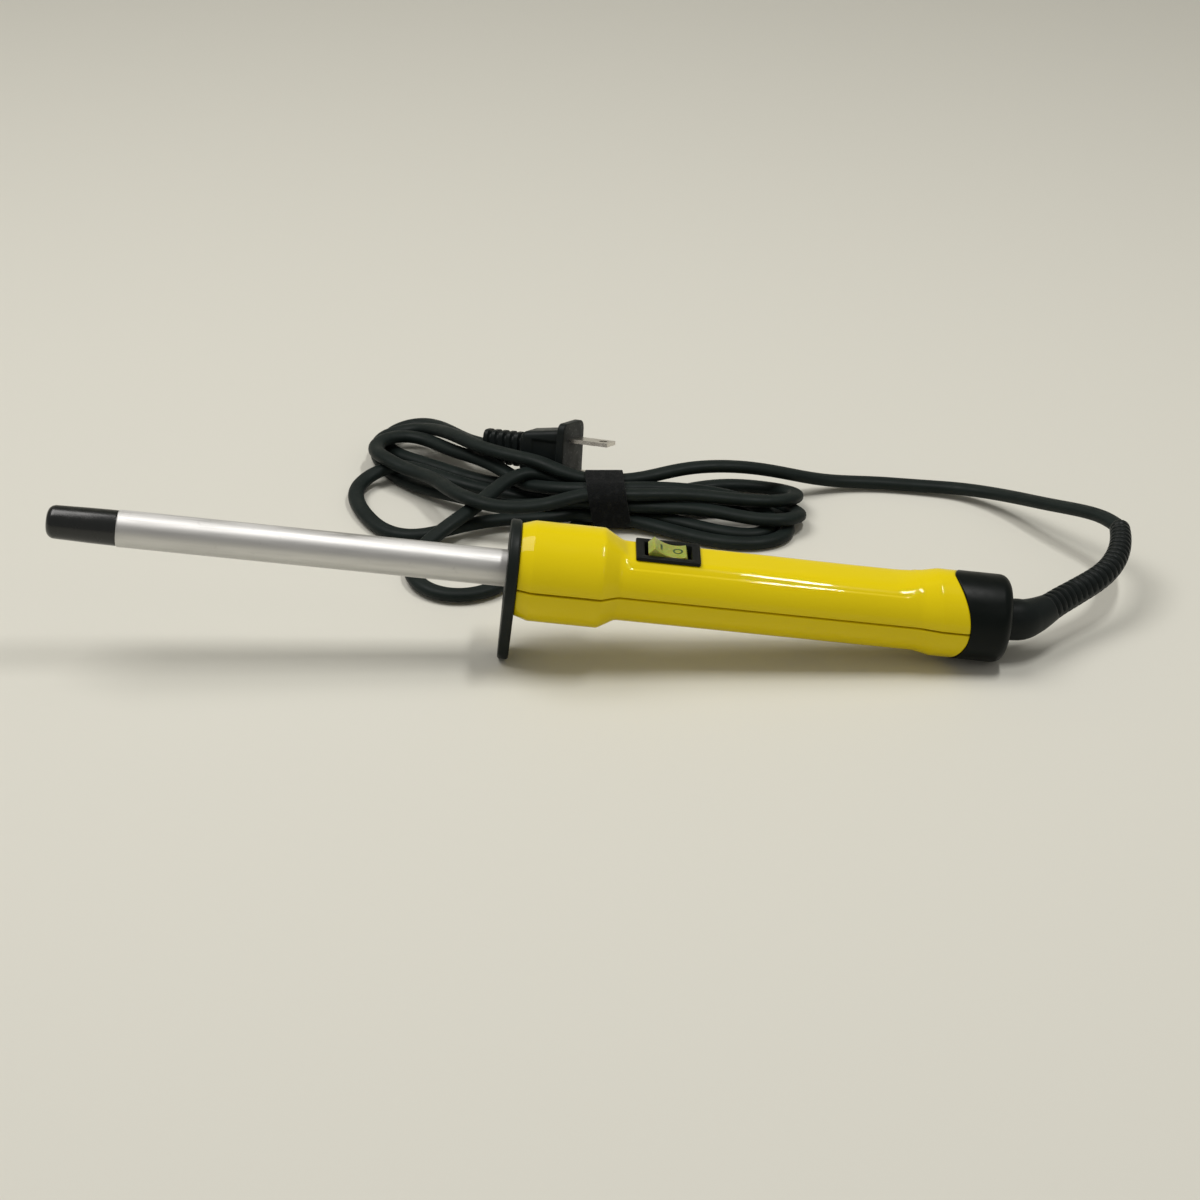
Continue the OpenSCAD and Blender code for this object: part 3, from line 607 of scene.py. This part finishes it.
def settled(base, rounds=110, gap=6.6, neighbours=8, share=0.25, smoothing=0.3):
    """Pushes runs of the lead apart where they cross or touch, and keeps them on the table.

    Points within that many neighbours along the lead leave each other alone. Each round closes a share of
    what is missing from the gap, and evens out the push between one point and the next.
    """
    squash = np.array((1, 1, CORD_W / CORD_T))
    index = np.arange(len(base))
    elsewhere = np.abs(index[:, None] - index[None]) > neighbours
    moved = np.zeros_like(base)
    for _ in range(rounds):
        line = (base + moved) * squash
        apart = line[:, None] - line[None]
        distance = np.linalg.norm(apart, axis=2)
        close = elsewhere & (distance < gap) & (distance > 1e-6)
        push = np.where(close, (gap - distance) / np.maximum(distance, 1e-6), 0) * share
        moved[2:-2] += ((apart * push[:, :, None]).sum(1) / squash)[2:-2]
        moved[2:-2] += smoothing * ((moved[1:-3] + moved[3:-1]) / 2 - moved[2:-2])
        moved[:, 2] = np.maximum(moved[:, 2], CORD_FLOOR - base[:, 2])
    return relaxed(base + moved, 2)


def lead_line():
    """The lead's centreline from the boot's tip to the plug's tail."""
    route = (LEAD + through_tie(FAR, HIGH, True) + TIP_LOOP_1 + through_tie(NEAR, MIDDLE, False)
             + CORD_LOOP_1 + through_tie(FAR, MIDDLE, True) + TIP_LOOP_2 + through_tie(MID, LOW, False)
             + CORD_LOOP_2 + through_tie(MID, HIGH, True) + TIP_LOOP_3 + through_tie(NEAR, HIGH, False)
             + CORD_LOOP_3 + through_tie(FAR, LOW, True) + TIP_LOOP_4 + through_tie(NEAR, LOW, False)
             + CORD_LOOP_4 + through_tie(MID, MIDDLE, True) + TO_PLUG + [PLUG_TAIL])
    coarse, fine = 2.5, 1.3
    line = settled(relaxed(spaced(curve_through(route, 2.0), coarse), 8))
    return relaxed(spaced(curve_through(line, fine), fine), 2)


def cord_section(i, count=24):
    """Flat lead: an oval with flattened broad sides."""
    power = 0.86
    a = around(count)
    return list(zip(CORD_W / 2 * np.sign(np.cos(a)) * np.abs(np.cos(a)) ** power,
                    CORD_T / 2 * np.sign(np.sin(a)) * np.abs(np.sin(a)) ** power))


lead_centre = lead_line()
lead = piece("lead", sweep(lead_centre, cord_section), ROW, "cord", "cord_rubber",
             ("cord_lead", "loops_tip_side", "loops_cord_side", "plug_lead"))


# ============================================================
# Barrel, tip and guard
# ============================================================
def make_barrel():
    """Open tube; past the guard's face it is a little slimmer, down to its seat in the handle."""
    bore, seat_r = BARREL_R - BARREL_WALL, BARREL_R - 0.2
    front, wide_end, seat_end = -BARREL_LEN, GUARD_FACE - 0.15, 24
    profile = filleted([(front, bore, 0), (front, BARREL_R - 0.25, 0), (front + 0.4, BARREL_R, 0.3),
                        (wide_end, BARREL_R, 0), (wide_end, seat_r, 0), (seat_end, seat_r, 0),
                        (seat_end, bore, 0)])
    piece("barrel", lathe(profile, loop=True), WAND, "handle", "barrel_metal", ("barrel_tube",))


def make_tip():
    """Plastic tip with a domed end and a plug that goes into the barrel."""
    root, end = -BARREL_LEN - 0.15, -BARREL_LEN - TIP_LEN
    plug_len, plug_r, root_r, middle_r, end_r, dome_r = 8, 5.5, 6.1, 6.02, 5.65, 3.6
    profile = filleted([(root + plug_len, 0, 0), (root + plug_len, plug_r, 0.6), (root, plug_r, 0),
                        (root, root_r, 0.35), (root - 8, middle_r, 20), (end, end_r, dome_r), (end, 0, 0)], 9)
    piece("tip", lathe(profile), WAND, "handle", "tip_plastic", ("cool_tip",))


def guard_outline(inset, count):
    """The guard as seen along the wand: a disc whose straight sides run down to a rounded foot."""
    foot_z = FOOT_DROP - FOOT_R
    side = math.pi - math.acos((GUARD_R - FOOT_R) / foot_z)
    out = []
    for a in around(count):
        upper = a <= side or a >= TAU - side
        r = (GUARD_R if upper else FOOT_R) - inset
        out.append((r * math.sin(a), r * math.cos(a) - (0 if upper else foot_z)))
    return out


def make_guard(count=120):
    """Plate with rounded edges, a hole for the barrel and a spigot that goes into the handle."""
    hole, spigot_r, spigot_bore, spigot_end = BARREL_R + 0.06, 13.4, 8.2, 6.5

    def plate(s, inset):
        return [(s, y, z) for y, z in guard_outline(inset, count)]

    def circle(s, r):
        return [(s, r * math.sin(a), r * math.cos(a)) for a in around(count)]

    rounding = edge_rounding(0.9, 6)
    front = [plate(GUARD_FACE + depth, inset) for inset, depth in rounding[::-1]]
    back = [plate(GUARD_BACK - depth, inset) for inset, depth in rounding]
    spigot = [circle(GUARD_BACK, spigot_r), circle(spigot_end, spigot_r), circle(spigot_end, spigot_bore),
              circle(GUARD_BACK, spigot_bore), circle(GUARD_BACK, hole)]
    rings = [circle(GUARD_FACE + 0.3, hole), circle(GUARD_FACE, hole + 0.3)] + front + back + spigot
    piece("guard", skin(rings, loop=True), WAND, "handle", "guard_plastic", ("guard_plate",))


# ============================================================
# Handle shells and end cap
# ============================================================
SHELL_FRONT = 3.1
SHELL_END = 160         # where the shells' profile ends before it is drawn out to the cap's arch
STRETCH_FROM = 141
SHELL_SCREWS = [(s, side * y) for s, y in ((29, 6.6), (104, 4.6)) for side in (1, -1)]


def arch(angle):
    """Where the end cap's front edge runs: it reaches furthest forward on top and below."""
    return 151.4 + 5.8 * np.abs(np.sin(angle)) ** 1.5


def shell_profile(spacing=0.55):
    """Places and radii along the round handle, closer together at the front edge and on the flare."""
    waist = BODY_R + 0.05
    line = filleted([(SHELL_FRONT, 15.2, 0), (SHELL_FRONT, 15.75, 0.35), (7.7, HEAD_R, 4),
                     (31.6, HEAD_R, 2.4), (37.4, waist, 3.4), (140, waist, 14), (149, RIM_R, 8),
                     (SHELL_END, RIM_R, 0)], 9)
    arc = arc_length(line)
    end = arc[-1]
    at = np.concatenate([np.linspace(0, end, int(end / spacing)), np.arange(end - 27, end - 18, 0.2),
                         arc[arc < 12]])
    return along(line, arc, np.unique(np.round(at, 4))).T


def panel_height(s):
    """Height of the flat top panel above the axis; it rises to the head in front and fades out behind."""
    front_slope, rear_slope = 0.69, 0.36
    front = front_slope * smooth_max(PANEL_S[0] - s, 0 * s, 1.2)
    behind = rear_slope * smooth_max(s - PANEL_S[1], 0 * s, 3.0)
    return PANEL_Z + front + behind


def pad_inset(s, across):
    """How far the panel's surround is sunk below the round body: a faint step along a rounded outline."""
    half_width, corner, front, rear, depth, blur = 10.0, 4.2, 37.6, 138.6, 0.22, 0.3
    middle, half = (front + rear) / 2, (rear - front) / 2
    ds = np.abs(s - middle) - (half - corner)
    dy = np.abs(across) - (half_width - corner)
    outside = np.hypot(np.maximum(ds, 0), np.maximum(dy, 0)) + np.minimum(np.maximum(ds, dy), 0) - corner
    return depth * (1 - step(-blur, blur, outside))


def half_shell(angles, top):
    """Closed shell over a range of angles, as thick as the wall, with softened edges."""
    s, r = shell_profile()
    s, a = np.meshgrid(s, angles, indexing="ij")
    r = np.repeat(r[:, None], len(angles), axis=1)
    end = arch(a)
    drawn_out = STRETCH_FROM + (s - STRETCH_FROM) * (end - STRETCH_FROM) / (SHELL_END - STRETCH_FROM)
    s = np.where(s > STRETCH_FROM, drawn_out, s)
    if top:
        r = r - pad_inset(s, BODY_R * np.sin(a)) * step(36.5, 38.5, s)
        flat = np.where(np.cos(a) > 0.3, panel_height(s) / np.maximum(np.cos(a), 0.3), 99)
        r = smooth_min(r, flat, 0.9 + 1.7 * step(62, 122, s))
    to_edges = (a - angles[0]) * BODY_R, (angles[-1] - a) * BODY_R, end - s
    for gap, soft in zip(to_edges, (0.35, 0.35, 0.5)):
        r = r - 0.3 * np.maximum(1 - gap / soft, 0) ** 2
    return thick_sheet(*(np.stack([s, q * np.sin(a), q * np.cos(a)], 2) for q in (r, r - WALL)))


def shell_angles(middle):
    """Angles across one shell, closer together at its edges and where the panel's edge runs."""
    parting = 0.3 / BODY_R
    edge = [math.pi / 2 - parting - d / BODY_R for d in (0, 0.08, 0.18, 0.35)]
    wide = list(np.radians(np.arange(0, 87, 1.6)))
    crease = list(np.radians(np.arange(43.8, 49.4, 0.33)))
    side = sorted([a for a in wide if not crease[0] - 0.01 < a < crease[-1] + 0.01] + crease + edge)
    return middle + np.array([-v for v in side[::-1] if v] + side)


def screw_cup(s, y, shell_r):
    """The cup that a shell screw's head sits in, from the shell's wall up to the screw's seat."""
    inner, outer, seat, top = 2.5, 3.2, -6.02, -4.8

    def ring(radius, z=None):
        out = []
        for a in around(40):
            py = y + radius * math.sin(a)
            wall_z = -math.sqrt((shell_r - 0.9) ** 2 - py * py)
            out.append((s + radius * math.cos(a), py, wall_z if z is None else z))
        return out

    return skin([ring(inner, seat), ring(inner), ring(outer), ring(outer, top)])


def make_shells():
    """The two shells, with the switch's opening on top and the screws' cups below."""
    opening_x, opening_y, smooth_to = 9.55, 6.55, 34
    opening = box_shape((SWITCH_S - opening_x, -opening_y, 5), (SWITCH_S + opening_x, opening_y, 20))
    upper = piece("upper_handle", half_shell(shell_angles(0), True), WAND, "handle", "shell_yellow",
                  ("upper_shell",), smooth_to)
    carve(upper, [opening], WAND, smooth_to)
    lower = piece("lower_handle", half_shell(shell_angles(math.pi), False), WAND, "handle", "shell_yellow",
                  ("lower_shell",), smooth_to)
    carve(lower, [cylinder_shape(p, 2.5, -25, -6) for p in SHELL_SCREWS], WAND, smooth_to)
    for k, (s, y) in enumerate(SHELL_SCREWS):
        piece(f"screw_cup_{k}", screw_cup(s, y, HEAD_R if s < 60 else BODY_R), WAND, "handle", "shell_yellow")


def make_cap(count=144):
    """End cap with an arched front edge and a round hole for the boot."""
    hole, back_wall, bore = 7.55, 3.5, 12.9
    inside = CAP_END - back_wall
    rings = []
    for a in around(count):
        front = float(arch(a)) + 0.12
        profile = filleted([(front + 0.2, bore, 0), (front, bore + 0.2, 0), (front, CAP_R, 0.45),
                            (CAP_END, CAP_R, 4), (CAP_END, hole, 0.6), (inside, hole, 0),
                            (inside, bore - 0.3, 0), (front + 1.5, bore - 0.2, 0)], 8)
        rings.append([(s, r * math.sin(a), r * math.cos(a)) for s, r in profile])
    piece("rear_cap", skin(rings, loop=True), WAND, "handle", "cap_black", ("end_cap",), sharp=45)


# ============================================================
# Switch
# ============================================================
SWITCH = WAND @ Matrix.Translation((SWITCH_S, 0, 0))
ROCKER = (SWITCH @ Matrix.Translation((0, 0, PIVOT_Z))
          @ Matrix.Rotation(math.radians(ROCKER_TRAVEL / 2), 4, "Y"))
ROCKER_HALF = 7.1
ROCKER_TOP_HALF = 5.7
ROCKER_W = 9.2
DISH_R = 11.6
DISH_END = 3


def dish(x):
    """Height of the rocker's hollowed top above its pivot."""
    return DISH_END + math.sqrt(DISH_R ** 2 - ROCKER_TOP_HALF ** 2) - math.sqrt(DISH_R ** 2 - x * x)


def make_switch_frame():
    """Switch body, its bezel lying on the panel, and the well that the rocker sits in."""
    body, bezel, well, soft = (9.5, 6.5), (11, 7.5), (8.0, 4.9), 0.3
    under, top = PANEL_Z + 0.02, PANEL_Z + 1.3
    rings = [(*body, 0.8, -1.5), (*body, 0.8, under), (10.95, 7.45, 0.7, under),
             (*bezel, 0.7, PANEL_Z + 0.95)]
    for a in np.linspace(0.2, math.pi / 2, 5):
        inset = soft * (1 - math.cos(a))
        rings.append((bezel[0] - inset, bezel[1] - inset, 0.7, top - soft + soft * math.sin(a)))
    rings += [(8.5, 5.4, 0.7, top - 0.02), (8.22, 5.12, 0.6, top - 0.12), (*well, 0.5, top - 0.5),
              (*well, 0.5, 1)]
    shape = skin([[(x, y, z) for x, y in rounded_box(hx, hy, r)] for hx, hy, r, z in rings])
    piece("switch_frame", shape, SWITCH, "handle", "bezel_black", ("switch_housing",), sharp=35)


def make_rocker():
    """Rocker with a dished top, the leg under it and the journals it turns on."""
    def outline(inset):
        """Side view: dished top, ends that lean in towards it, and a rounded underside."""
        half, top_half = ROCKER_HALF - inset, ROCKER_TOP_HALF - inset
        top = [(x, dish(x) - inset) for x in np.linspace(-top_half + 0.2, top_half - 0.2, 25)]
        right = [(top_half + 0.02, dish(top_half) - inset - 0.22), (half, 0.3), (half - 0.5, -0.8),
                 (half - 2, -1.8 + inset)]
        return top + right + [(-x, z) for x, z in right[::-1]]

    sides = [(ROCKER_W / 2 - depth, inset) for depth, inset in edge_rounding(0.35, 6)]
    stations = [(-y, inset) for y, inset in sides] + [(y, inset) for y, inset in sides[::-1]]
    body = skin([[(x, y, z) for x, z in outline(inset)] for y, inset in stations])
    leg_r, foot_r, leg_end, journal_end, turn = 1.3, 2.2, -6, 6.3, around(32)
    leg = [[(r * math.cos(a), r * math.sin(a), z) for a in turn]
           for r, z in ((leg_r, -1.9), (leg_r, leg_end), (foot_r, leg_end), (foot_r, -1.7))]
    journal = [[(math.cos(a), y, math.sin(a)) for a in turn] for y in (-journal_end, journal_end)]
    piece("rocker_button", joined(body, skin(leg), skin(journal)), ROCKER, "rocker", "rocker_lime",
          ("switch_rocker",), sharp=35)


def make_rocker_marks():
    """The usual bar and ring, raised on the two halves of the rocker."""
    lift, sink, from_middle = 0.07, 0.15, 2.9

    def oval(half_x, half_y, z):
        xs = [(from_middle + half_x * math.cos(a), half_y * math.sin(a)) for a in around(40)]
        return [(x, y, dish(x) + z) for x, y in xs]

    ring = skin([oval(1.7, 1.9, -sink), oval(1.65, 1.85, lift), oval(1.1, 1.3, lift),
                 oval(1.05, 1.25, -sink)], loop=True)
    outline = rounded_box(0.36, 1.9, 0.2)
    bar = skin([[(x * k - from_middle, y * k, dish(x * k - from_middle) + z) for x, y in outline]
                for k, z in ((1.03, -sink), (1, lift))])
    green = moulded("mark_green", (0.035, 0.075, 0.012), 0.4, mottle=0.7).material
    piece("rocker_marks", joined(ring, bar), ROCKER, "rocker", "rocker_lime", material=green)


# ============================================================
# Boot
# ============================================================
BOOT = [(169, 1, 14.0), (173, 3, 14.0), (178, 6.5, 14.5), (184, 12, 15.2), (191, 18, 16.0), (198, 24, 17.0),
        (203, 29.5, 17.8), (207, 36, 18.6), (210, 43.5, 19.3), (212, 52, 19.8), (213, 60, 20)]


def make_boot():
    """Swivelling strain relief: a flange inside the cap, a plain root, then ribs on two sides."""
    root_s, flange_end, flange_height = 157, 166.2, 2.2
    ribs_from, pitch, groove = 18, 2.8, 0.95
    start = [tuple(WAND @ Vector((s, 0, 0)) / MM) for s in (root_s, 161, 165)]
    line = spaced(curve_through(start + BOOT, 0.6), 0.4)
    u = arc_length(line) - (CAP_END - root_s)          # distance past the cap's end
    length = u[-1]
    radius = np.interp(u, [-20, 5.2, 19, length], [BOOT_ROOT_R, BOOT_ROOT_R, 4.95, BOOT_TIP_R])
    radius = np.convolve(np.pad(radius, 4, mode="edge"), np.ones(9) / 9, "valid")
    radius = np.where(u < flange_end - CAP_END, BOOT_ROOT_R + flange_height, radius)
    radius = radius - 0.7 * np.maximum(1 - (length - u) / 1.2, 0) ** 2
    in_ribs = step(ribs_from - 1.2, ribs_from - 0.4, u) * (1 - step(length - 3.4, length - 2.6, u))

    def section(i, count=56):
        """The ribs on one side stand between those on the other; smooth strips run between the two sides."""
        out = []
        for a in around(count):
            side = math.sin(a - 0.25)
            place = (u[i] - ribs_from) / pitch + (0.5 if side < 0 else 0)
            from_groove = abs(place - round(place)) * pitch
            depth = groove * (1 - step(0.25, 0.62, from_groove)) * step(0.12, 0.34, abs(side)) * in_ribs[i]
            r = radius[i] - depth
            out.append((r * math.cos(a), r * math.sin(a)))
        return out

    piece("boot", sweep(line, section), ROW, "cord", "boot_rubber", ("cord_boot",), sharp=60)


# ============================================================
# Tie
# ============================================================
def make_tie():
    """Hook-and-loop strap wound a little more than once round the hank, with its end on top."""
    width, thick, turns, steps = 14.4, 1.15, 1.42, 190
    centre_y, centre_z, start = 106.0, 9.6, 0.52
    loop = rounded_box(10.2, 7.6, 5.2, steps=16)
    loop = np.vstack([loop, loop[:1]])
    arc = arc_length(loop)
    rings = []
    for i in range(steps + 1):
        turn = turns * i / steps
        at = (turn + start) % 1.0 * arc[-1]
        p, ahead = along(loop, arc, at), along(loop, arc, (at + 0.4) % arc[-1])
        t = (ahead - p) / np.linalg.norm(ahead - p)
        outward = np.array([t[1], -t[0]])
        over = (thick + 0.1) * (float(step(0.0, 1.0, turn)) + 0.2 * max(turn - 1, 0))
        p = p + outward * (over + 0.07 * math.sin(turn * 31))
        taper = 1 - 0.03 * float(step(turns - 0.03, turns, turn))
        x_here = TIE_X + 0.9 - 0.16 * p[1] - 0.05 * p[0]
        section = []
        for x, z in rounded_box(width / 2, thick / 2, 0.4, steps=4):
            selvage = 0.16 * math.exp(-((abs(x) - width / 2 + 1.3) / 0.35) ** 2) * (1 if z > 0 else 0)
            y_up, z_up = p + outward * (z - selvage)
            section.append((x_here + x * taper, centre_y + y_up, centre_z + z_up))
        rings.append(section)
    return piece("tie", skin(rings), ROW, "cord", "strap_fabric", ("cord_tie",))


# ============================================================
# Plug
# ============================================================
PLUG = (ROW @ Matrix.Translation(PLUG_TAIL) @ Matrix.Rotation(math.radians(-24), 4, "Z")
        @ Matrix.Rotation(math.radians(-3.4), 4, "Y") @ Matrix.Rotation(math.radians(-15), 4, "X"))
PLUG_FACE = 37.5
FLANGE_T = 3


def plug_ring(x, half_y, half_z, radius):
    return [(x, y, z) for y, z in rounded_box(half_y, half_z, min(radius, half_y - 0.05), steps=9)]


def plug_tail():
    """Ribbed strain relief, a little wider towards the body."""
    pitch, ribs_end = 3.3, 15.6
    rings = []
    for x in np.arange(0, 18.4, 0.2):
        at = x % pitch
        rib = float(step(-0.05, 0.4, at) * (1 - step(1.95, 2.4, at))) * (1 if x < ribs_end else 0)
        widen = 1 + 0.04 * x / 17
        rings.append(plug_ring(x, (3.15 + 0.85 * rib) * widen, (5.3 + 1.15 * rib) * widen, 2.6))
    return skin(rings)


def plug_grip():
    """Body with a rounded shoulder, and a sunk panel on each broad side."""
    start, end = 16.8, PLUG_FACE - FLANGE_T + 0.5
    neck_y, neck_z, full_y = 3.4, 4.6, 7.0
    rings = []
    for x in np.linspace(start, end, 64):
        t = (x - start) / (end - start)
        shoulder = math.sqrt(max(0.0, 1 - (1 - min(t / 0.16, 1)) ** 2))
        half_y = neck_y + (full_y - neck_y) * shoulder
        half_z = neck_z + (7.9 + 2.6 * t - neck_z) * shoulder
        ring = plug_ring(x, half_y, half_z, 2.4 * max(shoulder, 0.3))
        ring = np.array(ring + ring[:1])
        arc = arc_length(ring)
        ring = along(ring, arc, np.linspace(0, arc[-1], 121)[:-1])
        sunk = step(22.6, 23.3, x) * (1 - step(32.9, 33.6, x)) * (1 - step(5.2, 5.9, np.abs(ring[:, 2])))
        ring[:, 1] -= np.sign(ring[:, 1]) * 0.55 * sunk * (np.abs(ring[:, 1]) > 6.2)
        rings.append(ring)
    return skin(rings)


def plug_flange():
    rounding = edge_rounding(0.4, 5)
    back = [(PLUG_FACE - FLANGE_T + depth, inset) for inset, depth in rounding][::-1]
    front = [(PLUG_FACE - depth, inset) for inset, depth in rounding]
    return skin([plug_ring(x, 9.5 - inset, 13.2 - inset, 3.2) for x, inset in back + front])


def make_plug():
    """The plug's body and the speckled disc on its face."""
    made = piece("plug", joined(plug_tail(), plug_grip(), plug_flange()), PLUG, "cord", "plug_rubber",
                 ("plug_body",), sharp=50)
    disc = skin([plug_ring(PLUG_FACE - 0.3, 8.7, 12.4, 2.6), plug_ring(PLUG_FACE + 0.03, 8.7, 12.4, 2.6),
                 plug_ring(PLUG_FACE + 0.08, 8.5, 12.2, 2.5)])
    return made, piece("plug_face", disc, PLUG, "cord", "plug_rubber", material=speckled_plug().material)


make_barrel()
make_tip()
make_guard()
make_shells()
make_cap()
make_switch_frame()
make_rocker()
make_rocker_marks()
make_boot()
tie = make_tie()
plug, plug_face = make_plug()
for name in ("plug_blade_wide", "plug_blade_narrow"):
    bevel = frame["nodes"][name].modifiers.new("soft_edges", "BEVEL")
    bevel.width = 0.28 * MM
    bevel.segments = 3
    bevel.limit_method = "ANGLE"


# ============================================================
# Floor, lights and camera
# ============================================================
def make_floor():
    """Pale paper that runs under the wand and curves up far behind it, in metres."""
    start, bend, top, radius = -3, 1.3, 2.4, 0.5
    profile = [(start, 0)] + [(bend + radius * math.sin(a), radius - radius * math.cos(a))
                              for a in np.linspace(0, math.pi / 2, 13)] + [(bend + radius, top)]
    mesh = bpy.data.meshes.new("floor")
    points = [(x, y, z) for y, z in profile for x in (-4, 4)]
    faces = [(2 * i, 2 * i + 1, 2 * i + 3, 2 * i + 2) for i in range(len(profile) - 1)]
    mesh.from_pydata(points, [], faces)
    mesh.polygons.foreach_set("use_smooth", [True] * len(faces))
    floor = bpy.data.objects.new("floor", mesh)
    scene.collection.objects.link(floor)
    paper = Surface("floor", (0.655, 0.645, 0.578), 0.6, Specular_IOR_Level=0.2)
    paper.bump(paper.noise(1.2, 3), 0.01)
    mesh.materials.append(paper.material)


def area_light(name, place, target, size, watts, colour):
    """A rectangular lamp at a place in metres, aimed at a target."""
    lamp = bpy.data.lights.new(name, "AREA")
    lamp.shape = "RECTANGLE"
    lamp.size, lamp.size_y = size
    lamp.energy = watts
    lamp.color = colour
    light = bpy.data.objects.new(name, lamp)
    light.location = place
    light.rotation_euler = (Vector(target) - Vector(place)).to_track_quat("-Z", "Y").to_euler()
    scene.collection.objects.link(light)


make_floor()
area_light("key", (-0.6, 0.2, 1.35), (-0.03, 0.0, 0), (0.95, 0.8), 12.2, (1.0, 0.975, 0.95))
area_light("window", (0.38, -0.01, 1.2), (0.08, 0, 0), (0.44, 0.07), 5.2, (1.0, 0.99, 0.97))
area_light("fill", (0.8, -1.0, 1.0), (0.05, 0.05, 0), (0.4, 0.4), 0.4, (1.0, 0.98, 0.95))
world = bpy.data.worlds.new("room")
world.use_nodes = True
world.node_tree.nodes["Background"].inputs["Color"].default_value = (1.0, 0.975, 0.93, 1)
world.node_tree.nodes["Background"].inputs["Strength"].default_value = 0.32
scene.world = world
scene.view_settings.view_transform = "Standard"

lens = bpy.data.cameras.new("camera")
lens.lens = 78
lens.sensor_width = 36
camera = bpy.data.objects.new("camera", lens)
camera.location = (0.0243, -0.786, 0.440)
camera.rotation_euler = (math.radians(62), 0, 0)
scene.collection.objects.link(camera)
scene.camera = camera

bpy.context.view_layer.update()
